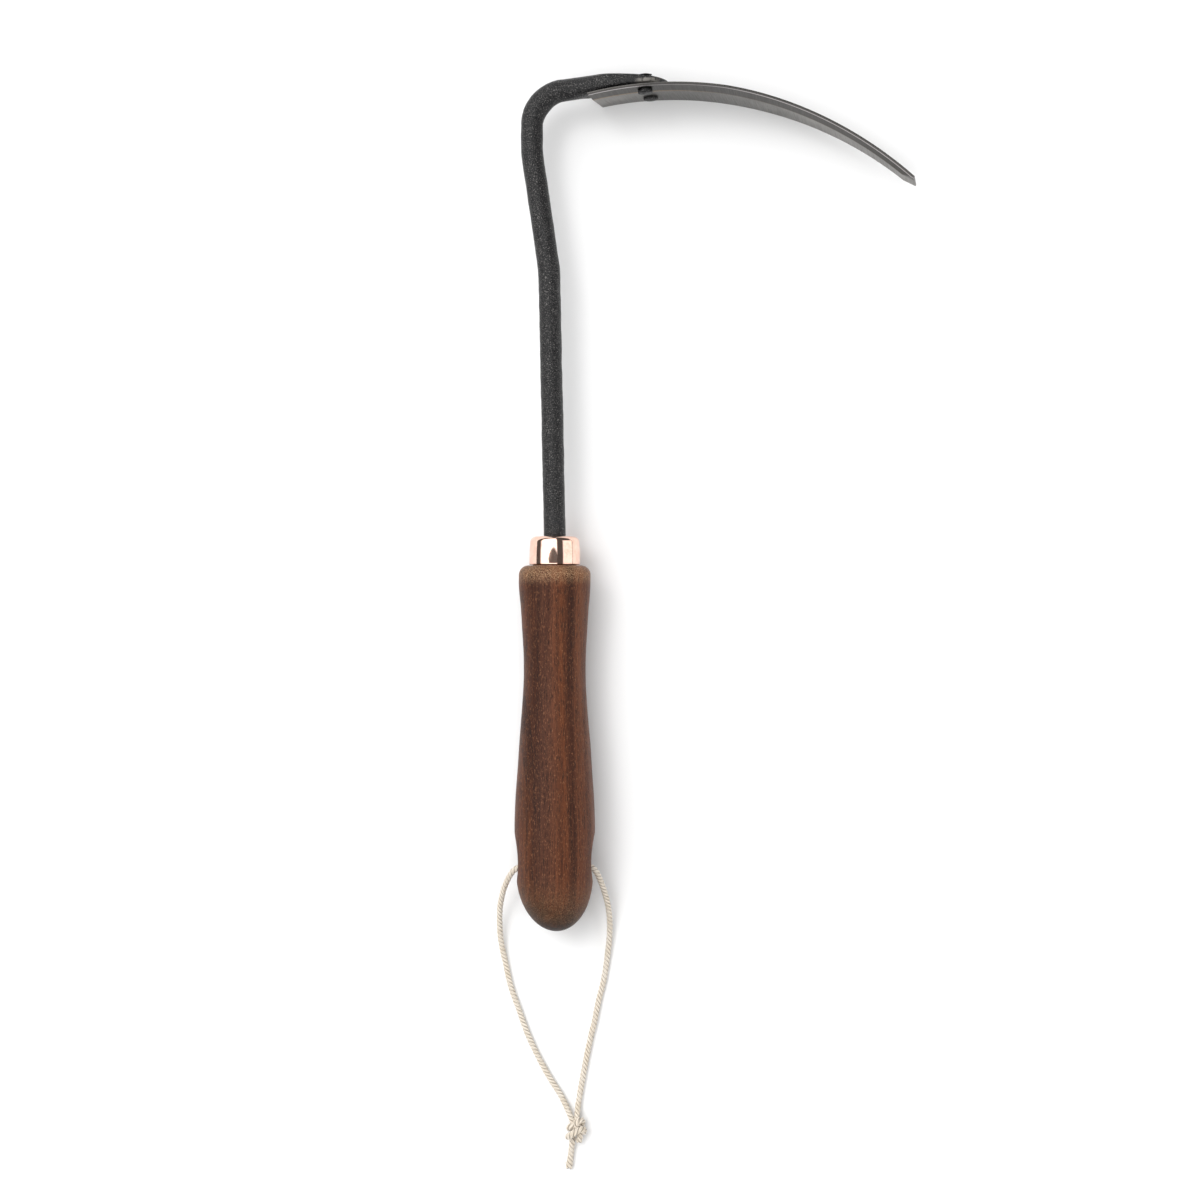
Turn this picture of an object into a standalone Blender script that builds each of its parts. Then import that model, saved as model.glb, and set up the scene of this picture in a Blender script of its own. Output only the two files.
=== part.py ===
"""Hand sickle: a bowed steel blade riveted to a forged shank, which is driven into a turned walnut handle.

Run it with: blender --background --python part.py
Units are metres. The tool lies on its side on the plane z = 0. It is modelled with the handle's axis along +Y
at x = 0, the butt at y = 0 and the blade at the far end, standing on its spine with its cutting edge up.
At the end everything moves together, so that the origin is on that plane under the middle of the tool.
"""

import math

import bmesh
import bpy
import numpy as np
from mathutils import Matrix, Vector

CLEARANCE = 0.0003  # left between pieces that touch

# Handle, turned about its axis. Places are measured from the butt unless they say otherwise.
HANDLE_LENGTH = 0.1535  # butt to shoulder
BUTT_LENGTH = 0.024  # the rounded end
BUTT_RADIUS = 0.0161
SWELL_AT, SWELL_RADIUS = 0.0428, 0.01686  # the thickest place
FLANK_AT, FLANK_RADIUS = 0.0750, 0.01522
WAIST_AT, WAIST_RADIUS = 0.1095, 0.01298
NECK_BELOW_SHOULDER, NECK_RADIUS = 0.0200, 0.01413
COLLAR_BELOW_SHOULDER, COLLAR_RADIUS = 0.0062, 0.01506
SHOULDER_ROUND = 0.0040
HANDLE_SIDES = 48

# Thumb hollows and the hole for the lanyard, which crosses the handle along X
HOLE_AT, HOLE_RADIUS = 0.0271, 0.0024
HOLLOW_AT, HOLLOW_DEPTH, HOLLOW_RADIUS = 0.0295, 0.00135, 0.0377
HOLLOW_TURN = (0.4, 0.3, 0.2)  # of its ball, so that no corner of it falls on an edge of the handle or hole
HOLE_SIDES = 20

# Ferrule, a drawn cap over the handle's tenon
FERRULE_LENGTH = 0.0119
FERRULE_RADIUS, FERRULE_TAPER = 0.01075, 0.00035  # at its foot, and how much narrower its top is
FERRULE_WALL = 0.0010
FERRULE_ROUND = 0.0025

# Shank: round bar, seen from above. Each length is measured from the stretch before it.
BAR_RADIUS = 0.0046
TANG_LENGTH, TANG_TIP_RADIUS = 0.0600, 0.0028  # below the shoulder, inside the handle
STRAIGHT_LENGTH, STRAIGHT_DRIFT = 0.1240, -0.0023  # shoulder to crank, leaning a little to -X
CRANK_LENGTH, CRANK_DRIFT, CRANK_ROUND = 0.0495, -0.0073, 0.060
NECK_LENGTH, BEND_ROUND = 0.0242, 0.0148  # crank to the corner of the bend
BAR_SIDES = 20

# Palm: the bar's flattened end, a wedge that follows the blade's back
PALM_FROM, PALM_TO = math.radians(-13.3), math.radians(-1.2)  # angles round the blade's bow
PALM_FULL_FROM, PALM_ROUND_FROM = math.radians(-10.0), math.radians(-5.6)
PALM_SWELL_BEFORE = 0.42  # share of the swell's way that lies before the palm, in the bar
PALM_ABOVE_SPINE, PALM_BELOW_EDGE = 0.0037, 0.0023  # how far it keeps from the blade's two long sides
PALM_DRAWN, PALM_TIP_THICKNESS = 0.0009, 0.0024  # how much thinner than the bar its root is
PALM_SQUARENESS = 5.0  # exponent of its superellipse section; the bar's is 2

# Blade: a strip bent to an arc in its thin direction. Angles are round the centre of that arc, from +Y towards +X.
BOW_RADIUS = 0.150  # of its inner face
BOW_FROM_BEND = Vector((0.0603, 0.0011))  # bend corner to the arc's furthest point
BLADE_THICKNESS = 0.0020
BLADE_WIDTH = 0.0290
HEEL_SPINE, HEEL_EDGE = math.radians(-11.7), math.radians(-14.1)  # the heel is cut at a slant
TIP_SPINE, TIP_EDGE = math.radians(42.3), math.radians(41.2)
TAPER_FROM = math.radians(9.0)
TAPER_SPINE, TAPER_EDGE = 0.0080, 0.0095  # how far each side has come in at the tip
BEVEL_SHARE = 0.25  # of the width, ground away towards the edge
BEVEL_DEPTH = 0.0010
HONE_HEIGHT, HONE_DEPTH = 0.0016, 0.0006
END_BEVEL_LENGTH, END_BEVEL_DEPTH = 0.0055, 0.0013

# Rivets: a domed head on the blade's inner face, a countersunk end in the palm
RIVET_UPPER_ANGLE, RIVET_BELOW_EDGE = math.radians(-4.9), 0.0062
RIVET_LOWER_ANGLE, RIVET_ABOVE_SPINE = math.radians(-3.9), 0.0083
RIVET_RADIUS = 0.0022
RIVET_HEAD_RADIUS, RIVET_HEAD_HEIGHT = 0.0031, 0.0016
RIVET_SINK_RADIUS, RIVET_SINK_DEPTH = 0.0034, 0.0010

# Lanyard: a limp cord through the cross hole, its ends knotted together
CORD_RADIUS = 0.0012
CORD_ROUTE = (  # from the knot up the left arm, through the hole and down the right arm
    (0.0058, -0.0800, 0.0026),
    (0.0024, -0.0722, 0.0014),
    (-0.0021, -0.0651, 0.0013),
    (-0.0073, -0.0557, 0.0013),
    (-0.0120, -0.0454, 0.0013),
    (-0.0157, -0.0351, 0.0013),
    (-0.0190, -0.0257, 0.0013),
    (-0.0213, -0.0154, 0.0014),
    (-0.0231, -0.0065, 0.0026),
    (-0.0236, 0.0018, 0.0049),
    (-0.0233, 0.0090, 0.0078),
    (-0.0220, 0.0157, 0.0108),
    (-0.0201, 0.0207, 0.0134),
    (-0.0177, 0.0248, 0.0157),
    (-0.0148, 0.0268, 0.0167),
    (-0.0110, 0.0271, 0.01686),
    (0.0000, 0.0271, 0.01686),
    (0.0110, 0.0271, 0.01686),
    (0.0148, 0.0269, 0.0167),
    (0.0172, 0.0250, 0.0157),
    (0.0191, 0.0210, 0.0134),
    (0.0207, 0.0164, 0.0108),
    (0.0222, 0.0105, 0.0078),
    (0.0231, 0.0035, 0.0048),
    (0.0230, -0.0048, 0.0025),
    (0.0218, -0.0154, 0.0014),
    (0.0204, -0.0238, 0.0013),
    (0.0185, -0.0313, 0.0013),
    (0.0166, -0.0407, 0.0013),
    (0.0148, -0.0482, 0.0013),
    (0.0129, -0.0576, 0.0013),
    (0.0112, -0.0669, 0.0013),
    (0.0099, -0.0745, 0.0016),
    (0.0094, -0.0800, 0.0026),
)
TAIL_ROUTE = (
    (0.0070, -0.0934, 0.0020),
    (0.0067, -0.0965, 0.0014),
    (0.0062, -0.1000, 0.0013),
    (0.0057, -0.1036, 0.0013),
)
KNOT_MIDDLE = Vector((0.0089, -0.0866, 0.0036))
KNOT_SIZE = Vector((0.0076, 0.0122, 0.0070))

# Where the pieces come, worked out from the sizes above
AXIS_Z = SWELL_RADIUS  # the swell rests on the plane
FERRULE_FROM = HANDLE_LENGTH + CLEARANCE
FERRULE_TOP_RADIUS = FERRULE_RADIUS - FERRULE_TAPER
FERRULE_TO = FERRULE_FROM + FERRULE_LENGTH
TENON_TO = FERRULE_TO - FERRULE_WALL - CLEARANCE
TENON_RADIUS = FERRULE_TOP_RADIUS - FERRULE_WALL - CLEARANCE
TANG_FROM = HANDLE_LENGTH - TANG_LENGTH
CRANK_POINT = Vector((STRAIGHT_DRIFT, HANDLE_LENGTH + STRAIGHT_LENGTH))
NECK_POINT = CRANK_POINT + Vector((CRANK_DRIFT, CRANK_LENGTH))
BEND_POINT = NECK_POINT + Vector((0.0, NECK_LENGTH))
BOW_CENTRE = BEND_POINT + BOW_FROM_BEND - Vector((0.0, BOW_RADIUS))
BACK_RADIUS = BOW_RADIUS + BLADE_THICKNESS + CLEARANCE  # of the palm's face against the blade
PALM_HEIGHT = BLADE_WIDTH - PALM_ABOVE_SPINE - PALM_BELOW_EDGE
PALM_MIDDLE_Z = PALM_ABOVE_SPINE + PALM_HEIGHT / 2
PALM_ROOT_THICKNESS = 2 * BAR_RADIUS - PALM_DRAWN
RIVETS = {  # angle round the bow, height
    "rivet_upper": (RIVET_UPPER_ANGLE, BLADE_WIDTH - RIVET_BELOW_EDGE),
    "rivet_lower": (RIVET_LOWER_ANGLE, RIVET_ABOVE_SPINE),
}


def clear_scene():
    for obj in list(bpy.data.objects):
        bpy.data.objects.remove(obj, do_unlink=True)


def finish(name, colour, roughness, metallic=0.0):
    """A Principled material; colour is linear RGB."""
    material = bpy.data.materials.new(name)
    material.use_nodes = True
    shader = material.node_tree.nodes["Principled BSDF"]
    shader.inputs["Base Color"].default_value = (*colour, 1.0)
    shader.inputs["Roughness"].default_value = roughness
    shader.inputs["Metallic"].default_value = metallic
    material.diffuse_color = (*colour, 1.0)
    return material


def smoothstep(x):
    x = min(max(x, 0.0), 1.0)
    return x * x * (3.0 - 2.0 * x)


def place(obj, parent, material):
    bpy.context.scene.collection.objects.link(obj)
    obj.parent = parent
    obj.data.materials.append(material)
    return obj


def skin(name, rings, loop=False):
    """A mesh over rings of points. A ring of one point closes its end; with loop, the last ring joins the first."""
    bm = bmesh.new()
    made = [[bm.verts.new(point) for point in ring] for ring in rings]
    pairs = list(zip(made, made[1:]))
    if loop:
        pairs.append((made[-1], made[0]))
    for low, high in pairs:
        count = max(len(low), len(high))
        for i in range(count):
            j = (i + 1) % count
            corners = (low[i % len(low)], low[j % len(low)], high[j % len(high)], high[i % len(high)])
            bm.faces.new(list(dict.fromkeys(corners)))
    if not loop:
        for ring in (made[0], made[-1]):
            if len(ring) > 2:
                bm.faces.new(ring)
    bmesh.ops.recalc_face_normals(bm, faces=bm.faces)
    mesh = bpy.data.meshes.new(name)
    bm.to_mesh(mesh)
    bm.free()
    mesh.shade_smooth()
    mesh.set_sharp_from_angle(angle=math.radians(35))
    return bpy.data.objects.new(name, mesh)


def turned(name, profile, frame, sides, loop=False):
    """A profile of (radius, distance along) points turned round the Z axis of frame."""
    rings = []
    for radius, along in profile:
        if radius == 0.0:
            rings.append([frame @ Vector((0.0, 0.0, along))])
            continue
        angles = [2 * math.pi * i / sides for i in range(sides)]
        rings.append([frame @ Vector((radius * math.cos(a), radius * math.sin(a), along)) for a in angles])
    return skin(name, rings, loop)


def arc(centre, radius, start, end, steps):
    """Points of a circular arc, as (radius, distance along) pairs of a turned profile; angles are in degrees."""
    angles = np.radians(np.linspace(start, end, steps))
    return [(centre[0] + radius * math.cos(a), centre[1] + radius * math.sin(a)) for a in angles]


def smooth_curve(points, spacing):
    """Points about this far apart on a Catmull-Rom curve through the given ones."""
    points = [Vector(point) for point in points]
    padded = [2 * points[0] - points[1], *points, 2 * points[-1] - points[-2]]
    out = []
    for before, start, end, after in zip(padded, padded[1:], padded[2:], padded[3:]):
        steps = max(1, round((end - start).length / spacing))
        for i in range(steps):
            t = i / steps
            out.append(
                0.5
                * (
                    2 * start
                    + (end - before) * t
                    + (2 * before - 5 * start + 4 * end - after) * t**2
                    + (3 * start - before - 3 * end + after) * t**3
                )
            )
    return [*out, points[-1]]


def cut(obj, cutter):
    modifier = obj.modifiers.new(cutter.name, "BOOLEAN")
    modifier.operation = "DIFFERENCE"
    modifier.solver = "EXACT"
    modifier.object = cutter


def helper(obj, parent):
    """A cutter: in the scene, but not a piece of the tool."""
    bpy.context.scene.collection.objects.link(obj)
    obj.parent = parent
    obj.hide_render = True
    obj.display_type = "WIRE"
    return obj


HANDLE_FRAME = Matrix.Translation((0.0, 0.0, AXIS_Z)) @ Matrix.Rotation(math.radians(-90), 4, "X")


def tang_radius(y):
    """The tang tapers from the bar's own radius at the shoulder to its tip."""
    share = min(max((HANDLE_LENGTH - y) / TANG_LENGTH, 0.0), 1.0)
    return BAR_RADIUS + (TANG_TIP_RADIUS - BAR_RADIUS) * share


def grip_profile():
    """The handle's outside between the rounded butt and the rounded shoulder."""
    stations = [
        (BUTT_RADIUS, BUTT_LENGTH),
        (SWELL_RADIUS, SWELL_AT),
        (FLANK_RADIUS, FLANK_AT),
        (WAIST_RADIUS, WAIST_AT),
        (NECK_RADIUS, HANDLE_LENGTH - NECK_BELOW_SHOULDER),
        (COLLAR_RADIUS, HANDLE_LENGTH - COLLAR_BELOW_SHOULDER),
    ]
    radii, places = (np.array(values) for values in zip(*stations))
    rises = np.diff(radii) / np.diff(places)
    slopes = np.array([0.0, *((rises[:-1] + rises[1:]) / 2), 0.0])
    slopes[[1, 3]] = 0.0  # level at the swell and at the waist
    slopes[0] = 1.4 * rises[0]
    profile = []
    for i, gap in enumerate(np.diff(places)):
        steps = max(2, round(gap / 0.007))
        for t in np.arange(steps) / steps:
            ease = t * t * (3 - 2 * t)
            radius = radii[i] + (radii[i + 1] - radii[i]) * ease
            radius += gap * t * (1 - t) * ((1 - t) * slopes[i] - t * slopes[i + 1])
            profile.append((float(radius), float(places[i] + gap * t)))
    return profile


def make_handle(parent, material):
    butt = [
        (BUTT_RADIUS * math.sin(a), BUTT_LENGTH * (1 - math.cos(a)))
        for a in np.radians(np.linspace(0, 90, 11))[:-1]
    ]
    butt[0] = (0.0, 0.0)
    shoulder_centre = (COLLAR_RADIUS - SHOULDER_ROUND, HANDLE_LENGTH - SHOULDER_ROUND)
    bore = [(tang_radius(y) + CLEARANCE, y) for y in (TENON_TO, HANDLE_LENGTH, TANG_FROM - CLEARANCE)]
    profile = [
        *butt,
        *grip_profile(),
        (COLLAR_RADIUS, HANDLE_LENGTH - COLLAR_BELOW_SHOULDER),
        *arc(shoulder_centre, SHOULDER_ROUND, 0, 90, 6),
        (TENON_RADIUS, HANDLE_LENGTH),
        (TENON_RADIUS, TENON_TO),
        *bore,
        (0.0, TANG_FROM - CLEARANCE),
    ]
    handle = place(turned("handle", profile, HANDLE_FRAME, HANDLE_SIDES), parent, material)
    surface = SWELL_RADIUS + (BUTT_RADIUS - SWELL_RADIUS) * (SWELL_AT - HOLLOW_AT) / (SWELL_AT - BUTT_LENGTH)
    for side, name in ((-1, "hollow_left"), (1, "hollow_right")):
        ball = bpy.data.meshes.new(name)
        bm = bmesh.new()
        bmesh.ops.create_uvsphere(bm, u_segments=96, v_segments=48, radius=HOLLOW_RADIUS)
        bm.to_mesh(ball)
        bm.free()
        hollow = helper(bpy.data.objects.new(name, ball), parent)
        hollow.rotation_euler = HOLLOW_TURN
        hollow.location = (side * (surface - HOLLOW_DEPTH + HOLLOW_RADIUS), HOLLOW_AT, AXIS_Z)
        cut(handle, hollow)
    across = Matrix.Translation((0.0, HOLE_AT, AXIS_Z)) @ Matrix.Rotation(math.radians(90), 4, "Y")
    across @= Matrix.Rotation(math.pi / HOLE_SIDES, 4, "Z")
    reach = 1.5 * SWELL_RADIUS
    drill = [(0.0, -reach), (HOLE_RADIUS, -reach), (HOLE_RADIUS, reach), (0.0, reach)]
    cut(handle, helper(turned("lanyard_hole", drill, across, HOLE_SIDES), parent))
    return handle


def make_ferrule(parent, material):
    round_centre = (FERRULE_TOP_RADIUS - FERRULE_ROUND, FERRULE_TO - FERRULE_ROUND)
    hole = BAR_RADIUS + CLEARANCE
    profile = [
        (FERRULE_RADIUS, FERRULE_FROM),
        *arc(round_centre, FERRULE_ROUND, 0, 90, 8),
        (hole, FERRULE_TO),
        (hole, FERRULE_TO - FERRULE_WALL),
        (FERRULE_TOP_RADIUS - FERRULE_WALL, FERRULE_TO - FERRULE_WALL),
        (FERRULE_RADIUS - FERRULE_WALL, FERRULE_FROM),
    ]
    return place(turned("ferrule", profile, HANDLE_FRAME, HANDLE_SIDES, loop=True), parent, material)


def rounded_corner(before, corner, after, radius):
    """Points of the arc that rounds a corner of a plan outline."""
    back, on = (before - corner).normalized(), (after - corner).normalized()
    half = back.angle(on) / 2
    centre = corner + (back + on).normalized() * (radius / math.sin(half))
    start = corner + back * (radius / math.tan(half))
    end = corner + on * (radius / math.tan(half))
    turn = (start - centre).angle_signed(end - centre)
    steps = max(3, round(abs(turn) / math.radians(9)))
    spoke = start - centre
    return [centre + Matrix.Rotation(-turn * i / steps, 2) @ spoke for i in range(steps + 1)]


def bow_point(angle, outward=0.0):
    """A plan point at this angle round the bow, this far outside the blade's inner face."""
    radius = BOW_RADIUS + outward
    return BOW_CENTRE + radius * Vector((math.sin(angle), math.cos(angle)))


def palm_thickness(angle):
    """The palm is a wedge, thinner towards its tip."""
    share = min(max((angle - PALM_FROM) / (PALM_TO - PALM_FROM), 0.0), 1.0)
    return PALM_ROOT_THICKNESS + (PALM_TIP_THICKNESS - PALM_ROOT_THICKNESS) * share


def make_shank(parent, material):
    palm_start = bow_point(PALM_FROM, BACK_RADIUS - BOW_RADIUS + PALM_ROOT_THICKNESS / 2)
    shoulder = Vector((0.0, HANDLE_LENGTH))
    plan = [Vector((0.0, y)) for y in np.linspace(TANG_FROM, FERRULE_TO, 5)]
    plan += rounded_corner(shoulder, CRANK_POINT, NECK_POINT, CRANK_ROUND)
    plan += rounded_corner(CRANK_POINT, NECK_POINT, BEND_POINT, CRANK_ROUND)
    plan += rounded_corner(NECK_POINT, BEND_POINT, palm_start, BEND_ROUND)
    sections = [(point, 2 * tang_radius(point.y), 2 * tang_radius(point.y), 2.0, AXIS_Z) for point in plan]
    sections = sections[:-1]
    last = plan[-1]
    for share in (0.0, 0.25, 0.5, 0.75):
        swell = smoothstep(PALM_SWELL_BEFORE * share)
        middle = AXIS_Z + (PALM_MIDDLE_Z - AXIS_Z) * swell
        thickness = 2 * BAR_RADIUS + (PALM_ROOT_THICKNESS - 2 * BAR_RADIUS) * share
        height = 2 * BAR_RADIUS + (PALM_HEIGHT - 2 * BAR_RADIUS) * swell
        squareness = 2.0 + (PALM_SQUARENESS - 2.0) * swell
        sections.append((last.lerp(palm_start, share), thickness, height, squareness, middle))
    round_part = PALM_TO - PALM_ROUND_FROM
    stations = np.linspace(PALM_FROM, PALM_ROUND_FROM, 9)[:-1].tolist()
    stations += [PALM_ROUND_FROM + round_part * math.sin(math.radians(turn)) for turn in range(0, 85, 12)]
    for angle in stations:
        grown = (angle - PALM_FROM) / (PALM_FULL_FROM - PALM_FROM)
        swell = smoothstep(PALM_SWELL_BEFORE + (1 - PALM_SWELL_BEFORE) * grown)
        beyond = max(0.0, (angle - PALM_ROUND_FROM) / round_part)
        height = 2 * BAR_RADIUS + (PALM_HEIGHT - 2 * BAR_RADIUS) * swell
        height *= math.sqrt(1 - beyond**2)
        thickness = palm_thickness(angle)
        squareness = 2.0 + (PALM_SQUARENESS - 2.0) * swell
        middle = AXIS_Z + (PALM_MIDDLE_Z - AXIS_Z) * swell
        point = bow_point(angle, BACK_RADIUS - BOW_RADIUS + thickness / 2)
        sections.append((point, thickness, height, squareness, middle))
    rings = []
    for i, (point, thickness, height, squareness, middle) in enumerate(sections):
        ahead = sections[min(i + 1, len(sections) - 1)][0] - sections[max(i - 1, 0)][0]
        across = Vector((-ahead.y, ahead.x)).normalized()
        ring = []
        for k in range(BAR_SIDES):
            c, s = (f(2 * math.pi * k / BAR_SIDES) for f in (math.cos, math.sin))
            side = math.copysign(abs(c) ** (2 / squareness), c) * thickness / 2
            up = math.copysign(abs(s) ** (2 / squareness), s) * height / 2
            ring.append((*(point + across * side), middle + up))
        rings.append(ring)
    return place(skin("shank", rings), parent, material)


def blade_edges(share):
    """Heights of the spine and of the cutting edge, at this share of the way from heel to tip."""
    angle = HEEL_SPINE + (TIP_SPINE - HEEL_SPINE) * share
    along = min(max((angle - TAPER_FROM) / (TIP_SPINE - TAPER_FROM), 0.0), 1.0)
    spine = TAPER_SPINE * along**1.6
    edge = BLADE_WIDTH - TAPER_EDGE * math.sin(math.pi / 2 * along) ** 1.2
    return spine, edge


def make_blade(parent, material):
    blade_length = BOW_RADIUS * (TIP_SPINE - HEEL_SPINE)
    bevel_share = 1 - END_BEVEL_LENGTH / blade_length
    rings = []
    for share in [*np.linspace(0, bevel_share, 40).tolist(), (1 + bevel_share) / 2, 1.0]:
        spine, edge = blade_edges(share)
        width = edge - spine
        ground = END_BEVEL_DEPTH * max(0.0, (share - bevel_share) / (1 - bevel_share))
        section = (
            (ground, spine),
            (ground, edge - HONE_HEIGHT - BEVEL_SHARE * width),
            (max(ground, BEVEL_DEPTH), edge - HONE_HEIGHT),
            (BEVEL_DEPTH + HONE_DEPTH, edge),
            (BLADE_THICKNESS, edge),
            (BLADE_THICKNESS, spine),
        )
        ring = []
        for outward, z in section:
            up = (z - spine) / width
            heel = HEEL_SPINE + (HEEL_EDGE - HEEL_SPINE) * up
            tip = TIP_SPINE + (TIP_EDGE - TIP_SPINE) * up
            ring.append((*bow_point(heel + (tip - heel) * share, outward), z))
        rings.append(ring)
    return place(skin("blade", rings), parent, material)


def rivet_frame(angle, height):
    """Its Z axis points out through the blade, from the blade's inner face."""
    outward = Vector((math.sin(angle), math.cos(angle), 0.0))
    turn = outward.to_track_quat("Z", "X").to_matrix().to_4x4()
    return Matrix.Translation((*bow_point(angle), height)) @ turn


def make_rivets(parent, material, blade, shank):
    rivets = []
    for name, (angle, height) in RIVETS.items():
        frame = rivet_frame(angle, height)
        back = BACK_RADIUS - BOW_RADIUS + palm_thickness(angle)
        head_foot = -CLEARANCE
        dome = [
            (RIVET_HEAD_RADIUS * math.sin(a), head_foot - RIVET_HEAD_HEIGHT * (0.45 + 0.55 * math.cos(a)))
            for a in np.radians(np.linspace(0, 90, 6))
        ]
        dome[0] = (0.0, dome[0][1])
        profile = [
            *dome,
            (RIVET_HEAD_RADIUS, head_foot),
            (RIVET_RADIUS, head_foot),
            (RIVET_RADIUS, back - RIVET_SINK_DEPTH),
            (RIVET_SINK_RADIUS, back),
            (0.0, back),
        ]
        rivets.append(place(turned(name, profile, frame, 24), parent, material))
        hole = RIVET_RADIUS + CLEARANCE
        sink = RIVET_SINK_RADIUS + CLEARANCE
        beyond = back + 2 * RIVET_SINK_DEPTH
        drill = [
            (0.0, -BLADE_THICKNESS),
            (hole, -BLADE_THICKNESS),
            (hole, back - RIVET_SINK_DEPTH - CLEARANCE),
            (sink, back - CLEARANCE),
            (sink, beyond),
            (0.0, beyond),
        ]
        cutter = helper(turned(name + "_hole", drill, frame, 24), parent)
        cut(blade, cutter)
        cut(shank, cutter)
    return rivets


def make_cord(name, route, parent, material):
    """A tube along a smooth curve through the route's points."""
    curve = bpy.data.curves.new(name, "CURVE")
    curve.dimensions = "3D"
    curve.bevel_depth = CORD_RADIUS
    curve.bevel_resolution = 2
    curve.use_fill_caps = True
    points = smooth_curve(route, 2.2 * 2 * CORD_RADIUS)
    spline = curve.splines.new("POLY")
    spline.points.add(len(points) - 1)
    for spot, point in zip(spline.points, points):
        spot.co = (*point, 1.0)
    return place(bpy.data.objects.new(name, curve), parent, material)


def make_knot(parent, material):
    """The outer shape of the knot."""
    bm = bmesh.new()
    bmesh.ops.create_uvsphere(bm, u_segments=20, v_segments=12, radius=0.5)
    for vert in bm.verts:
        vert.co = KNOT_MIDDLE + KNOT_SIZE * vert.co
    mesh = bpy.data.meshes.new("lanyard_knot")
    bm.to_mesh(mesh)
    bm.free()
    mesh.shade_smooth()
    return place(bpy.data.objects.new("lanyard_knot", mesh), parent, material)


def stand_on_origin(parent, pieces):
    """Moves the tool, so that the origin is at the bottom, under the middle of its rigid pieces."""
    bpy.context.view_layer.update()
    graph = bpy.context.evaluated_depsgraph_get()
    points = []
    for piece in pieces:
        evaluated = piece.evaluated_get(graph)
        mesh = evaluated.to_mesh()
        points += [evaluated.matrix_world @ vert.co for vert in mesh.vertices]
        evaluated.to_mesh_clear()
    low, high = (Vector(f(point[i] for point in points) for i in range(3)) for f in (min, max))
    parent.location = (-(low.x + high.x) / 2, -(low.y + high.y) / 2, -low.z)


def main():
    clear_scene()
    tool = bpy.data.objects.new("sickle", None)
    bpy.context.scene.collection.objects.link(tool)
    walnut = finish("walnut", (0.125, 0.058, 0.030), 0.45)
    copper = finish("copper", (0.93, 0.60, 0.48), 0.12, 1.0)
    forged = finish("forged_black", (0.022, 0.022, 0.024), 0.45, 0.6)
    steel = finish("ground_steel", (0.36, 0.355, 0.345), 0.38, 1.0)
    cotton = finish("cotton", (0.68, 0.60, 0.47), 0.9)
    handle = make_handle(tool, walnut)
    ferrule = make_ferrule(tool, copper)
    shank = make_shank(tool, forged)
    blade = make_blade(tool, steel)
    rivets = make_rivets(tool, forged, blade, shank)
    make_cord("lanyard_cord", CORD_ROUTE, tool, cotton)
    make_cord("lanyard_tail", TAIL_ROUTE, tool, cotton)
    make_knot(tool, cotton)
    stand_on_origin(tool, [handle, ferrule, shank, blade, *rivets])


main()
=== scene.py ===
"""Looks of the hand sickle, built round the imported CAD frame.

Everything is in metres in the row frame. The design frame of the CAD source (handle's axis at x = 0, butt at
y = 0) is found again from the frame's boxes, so each piece goes where its CAD node is.
"""

import math

import bmesh
import bpy
import numpy as np
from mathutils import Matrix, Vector, noise


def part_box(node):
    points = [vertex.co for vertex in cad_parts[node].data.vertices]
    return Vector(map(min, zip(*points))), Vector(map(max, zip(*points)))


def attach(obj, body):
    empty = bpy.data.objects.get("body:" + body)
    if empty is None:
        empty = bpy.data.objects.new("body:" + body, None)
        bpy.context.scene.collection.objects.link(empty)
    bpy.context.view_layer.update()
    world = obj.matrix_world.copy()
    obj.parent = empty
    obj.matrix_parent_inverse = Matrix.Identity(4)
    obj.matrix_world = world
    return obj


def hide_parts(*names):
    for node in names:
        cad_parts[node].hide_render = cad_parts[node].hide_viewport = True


MM = 0.001
SCENE = bpy.context.scene

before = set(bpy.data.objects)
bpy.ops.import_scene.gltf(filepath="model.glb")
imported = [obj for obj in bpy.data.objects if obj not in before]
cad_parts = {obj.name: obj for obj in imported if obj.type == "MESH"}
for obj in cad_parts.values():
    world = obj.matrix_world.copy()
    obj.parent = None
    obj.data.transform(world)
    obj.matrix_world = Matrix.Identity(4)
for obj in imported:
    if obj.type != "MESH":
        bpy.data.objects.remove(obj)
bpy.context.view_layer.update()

handle_low, handle_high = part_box("handle")
ORIGIN = Vector(((handle_low.x + handle_high.x) / 2, handle_low.y, 0.0))  # of the design frame
AXIS_Z = (handle_low.z + handle_high.z) / 2  # height of the handle's axis


def placed(points):
    """Points of the design frame, in millimetres, as an array of points of the row frame."""
    return np.asarray(points) * MM + np.array(ORIGIN)


# ---------------------------------------------------------------- camera

CAMERA_OVER = (19.0, 139.0)  # the point of the tool that it looks straight down on
CAMERA_HEIGHT, CAMERA_LENS = 1.050, 75.0  # metres above the handle's axis, and millimetres


def make_camera():
    """Straight above, and looking straight down."""
    data = bpy.data.cameras.new("camera")
    data.lens, data.sensor_width = CAMERA_LENS, 36.0
    data.clip_start, data.clip_end = 0.01, 20.0
    camera = bpy.data.objects.new("camera", data)
    camera.location = ORIGIN + Vector((*CAMERA_OVER, 0.0)) * MM + Vector((0.0, 0.0, AXIS_Z + CAMERA_HEIGHT))
    SCENE.collection.objects.link(camera)
    SCENE.camera = camera


make_camera()

# ---------------------------------------------------------------- shared helpers


def smoothstep(x):
    x = np.clip(x, 0.0, 1.0)
    return x * x * (3.0 - 2.0 * x)


def unit(v):
    return v / np.maximum(np.linalg.norm(v, axis=-1, keepdims=True), 1e-12)


def blend(start, end, share):
    return start + (end - start) * share


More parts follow.
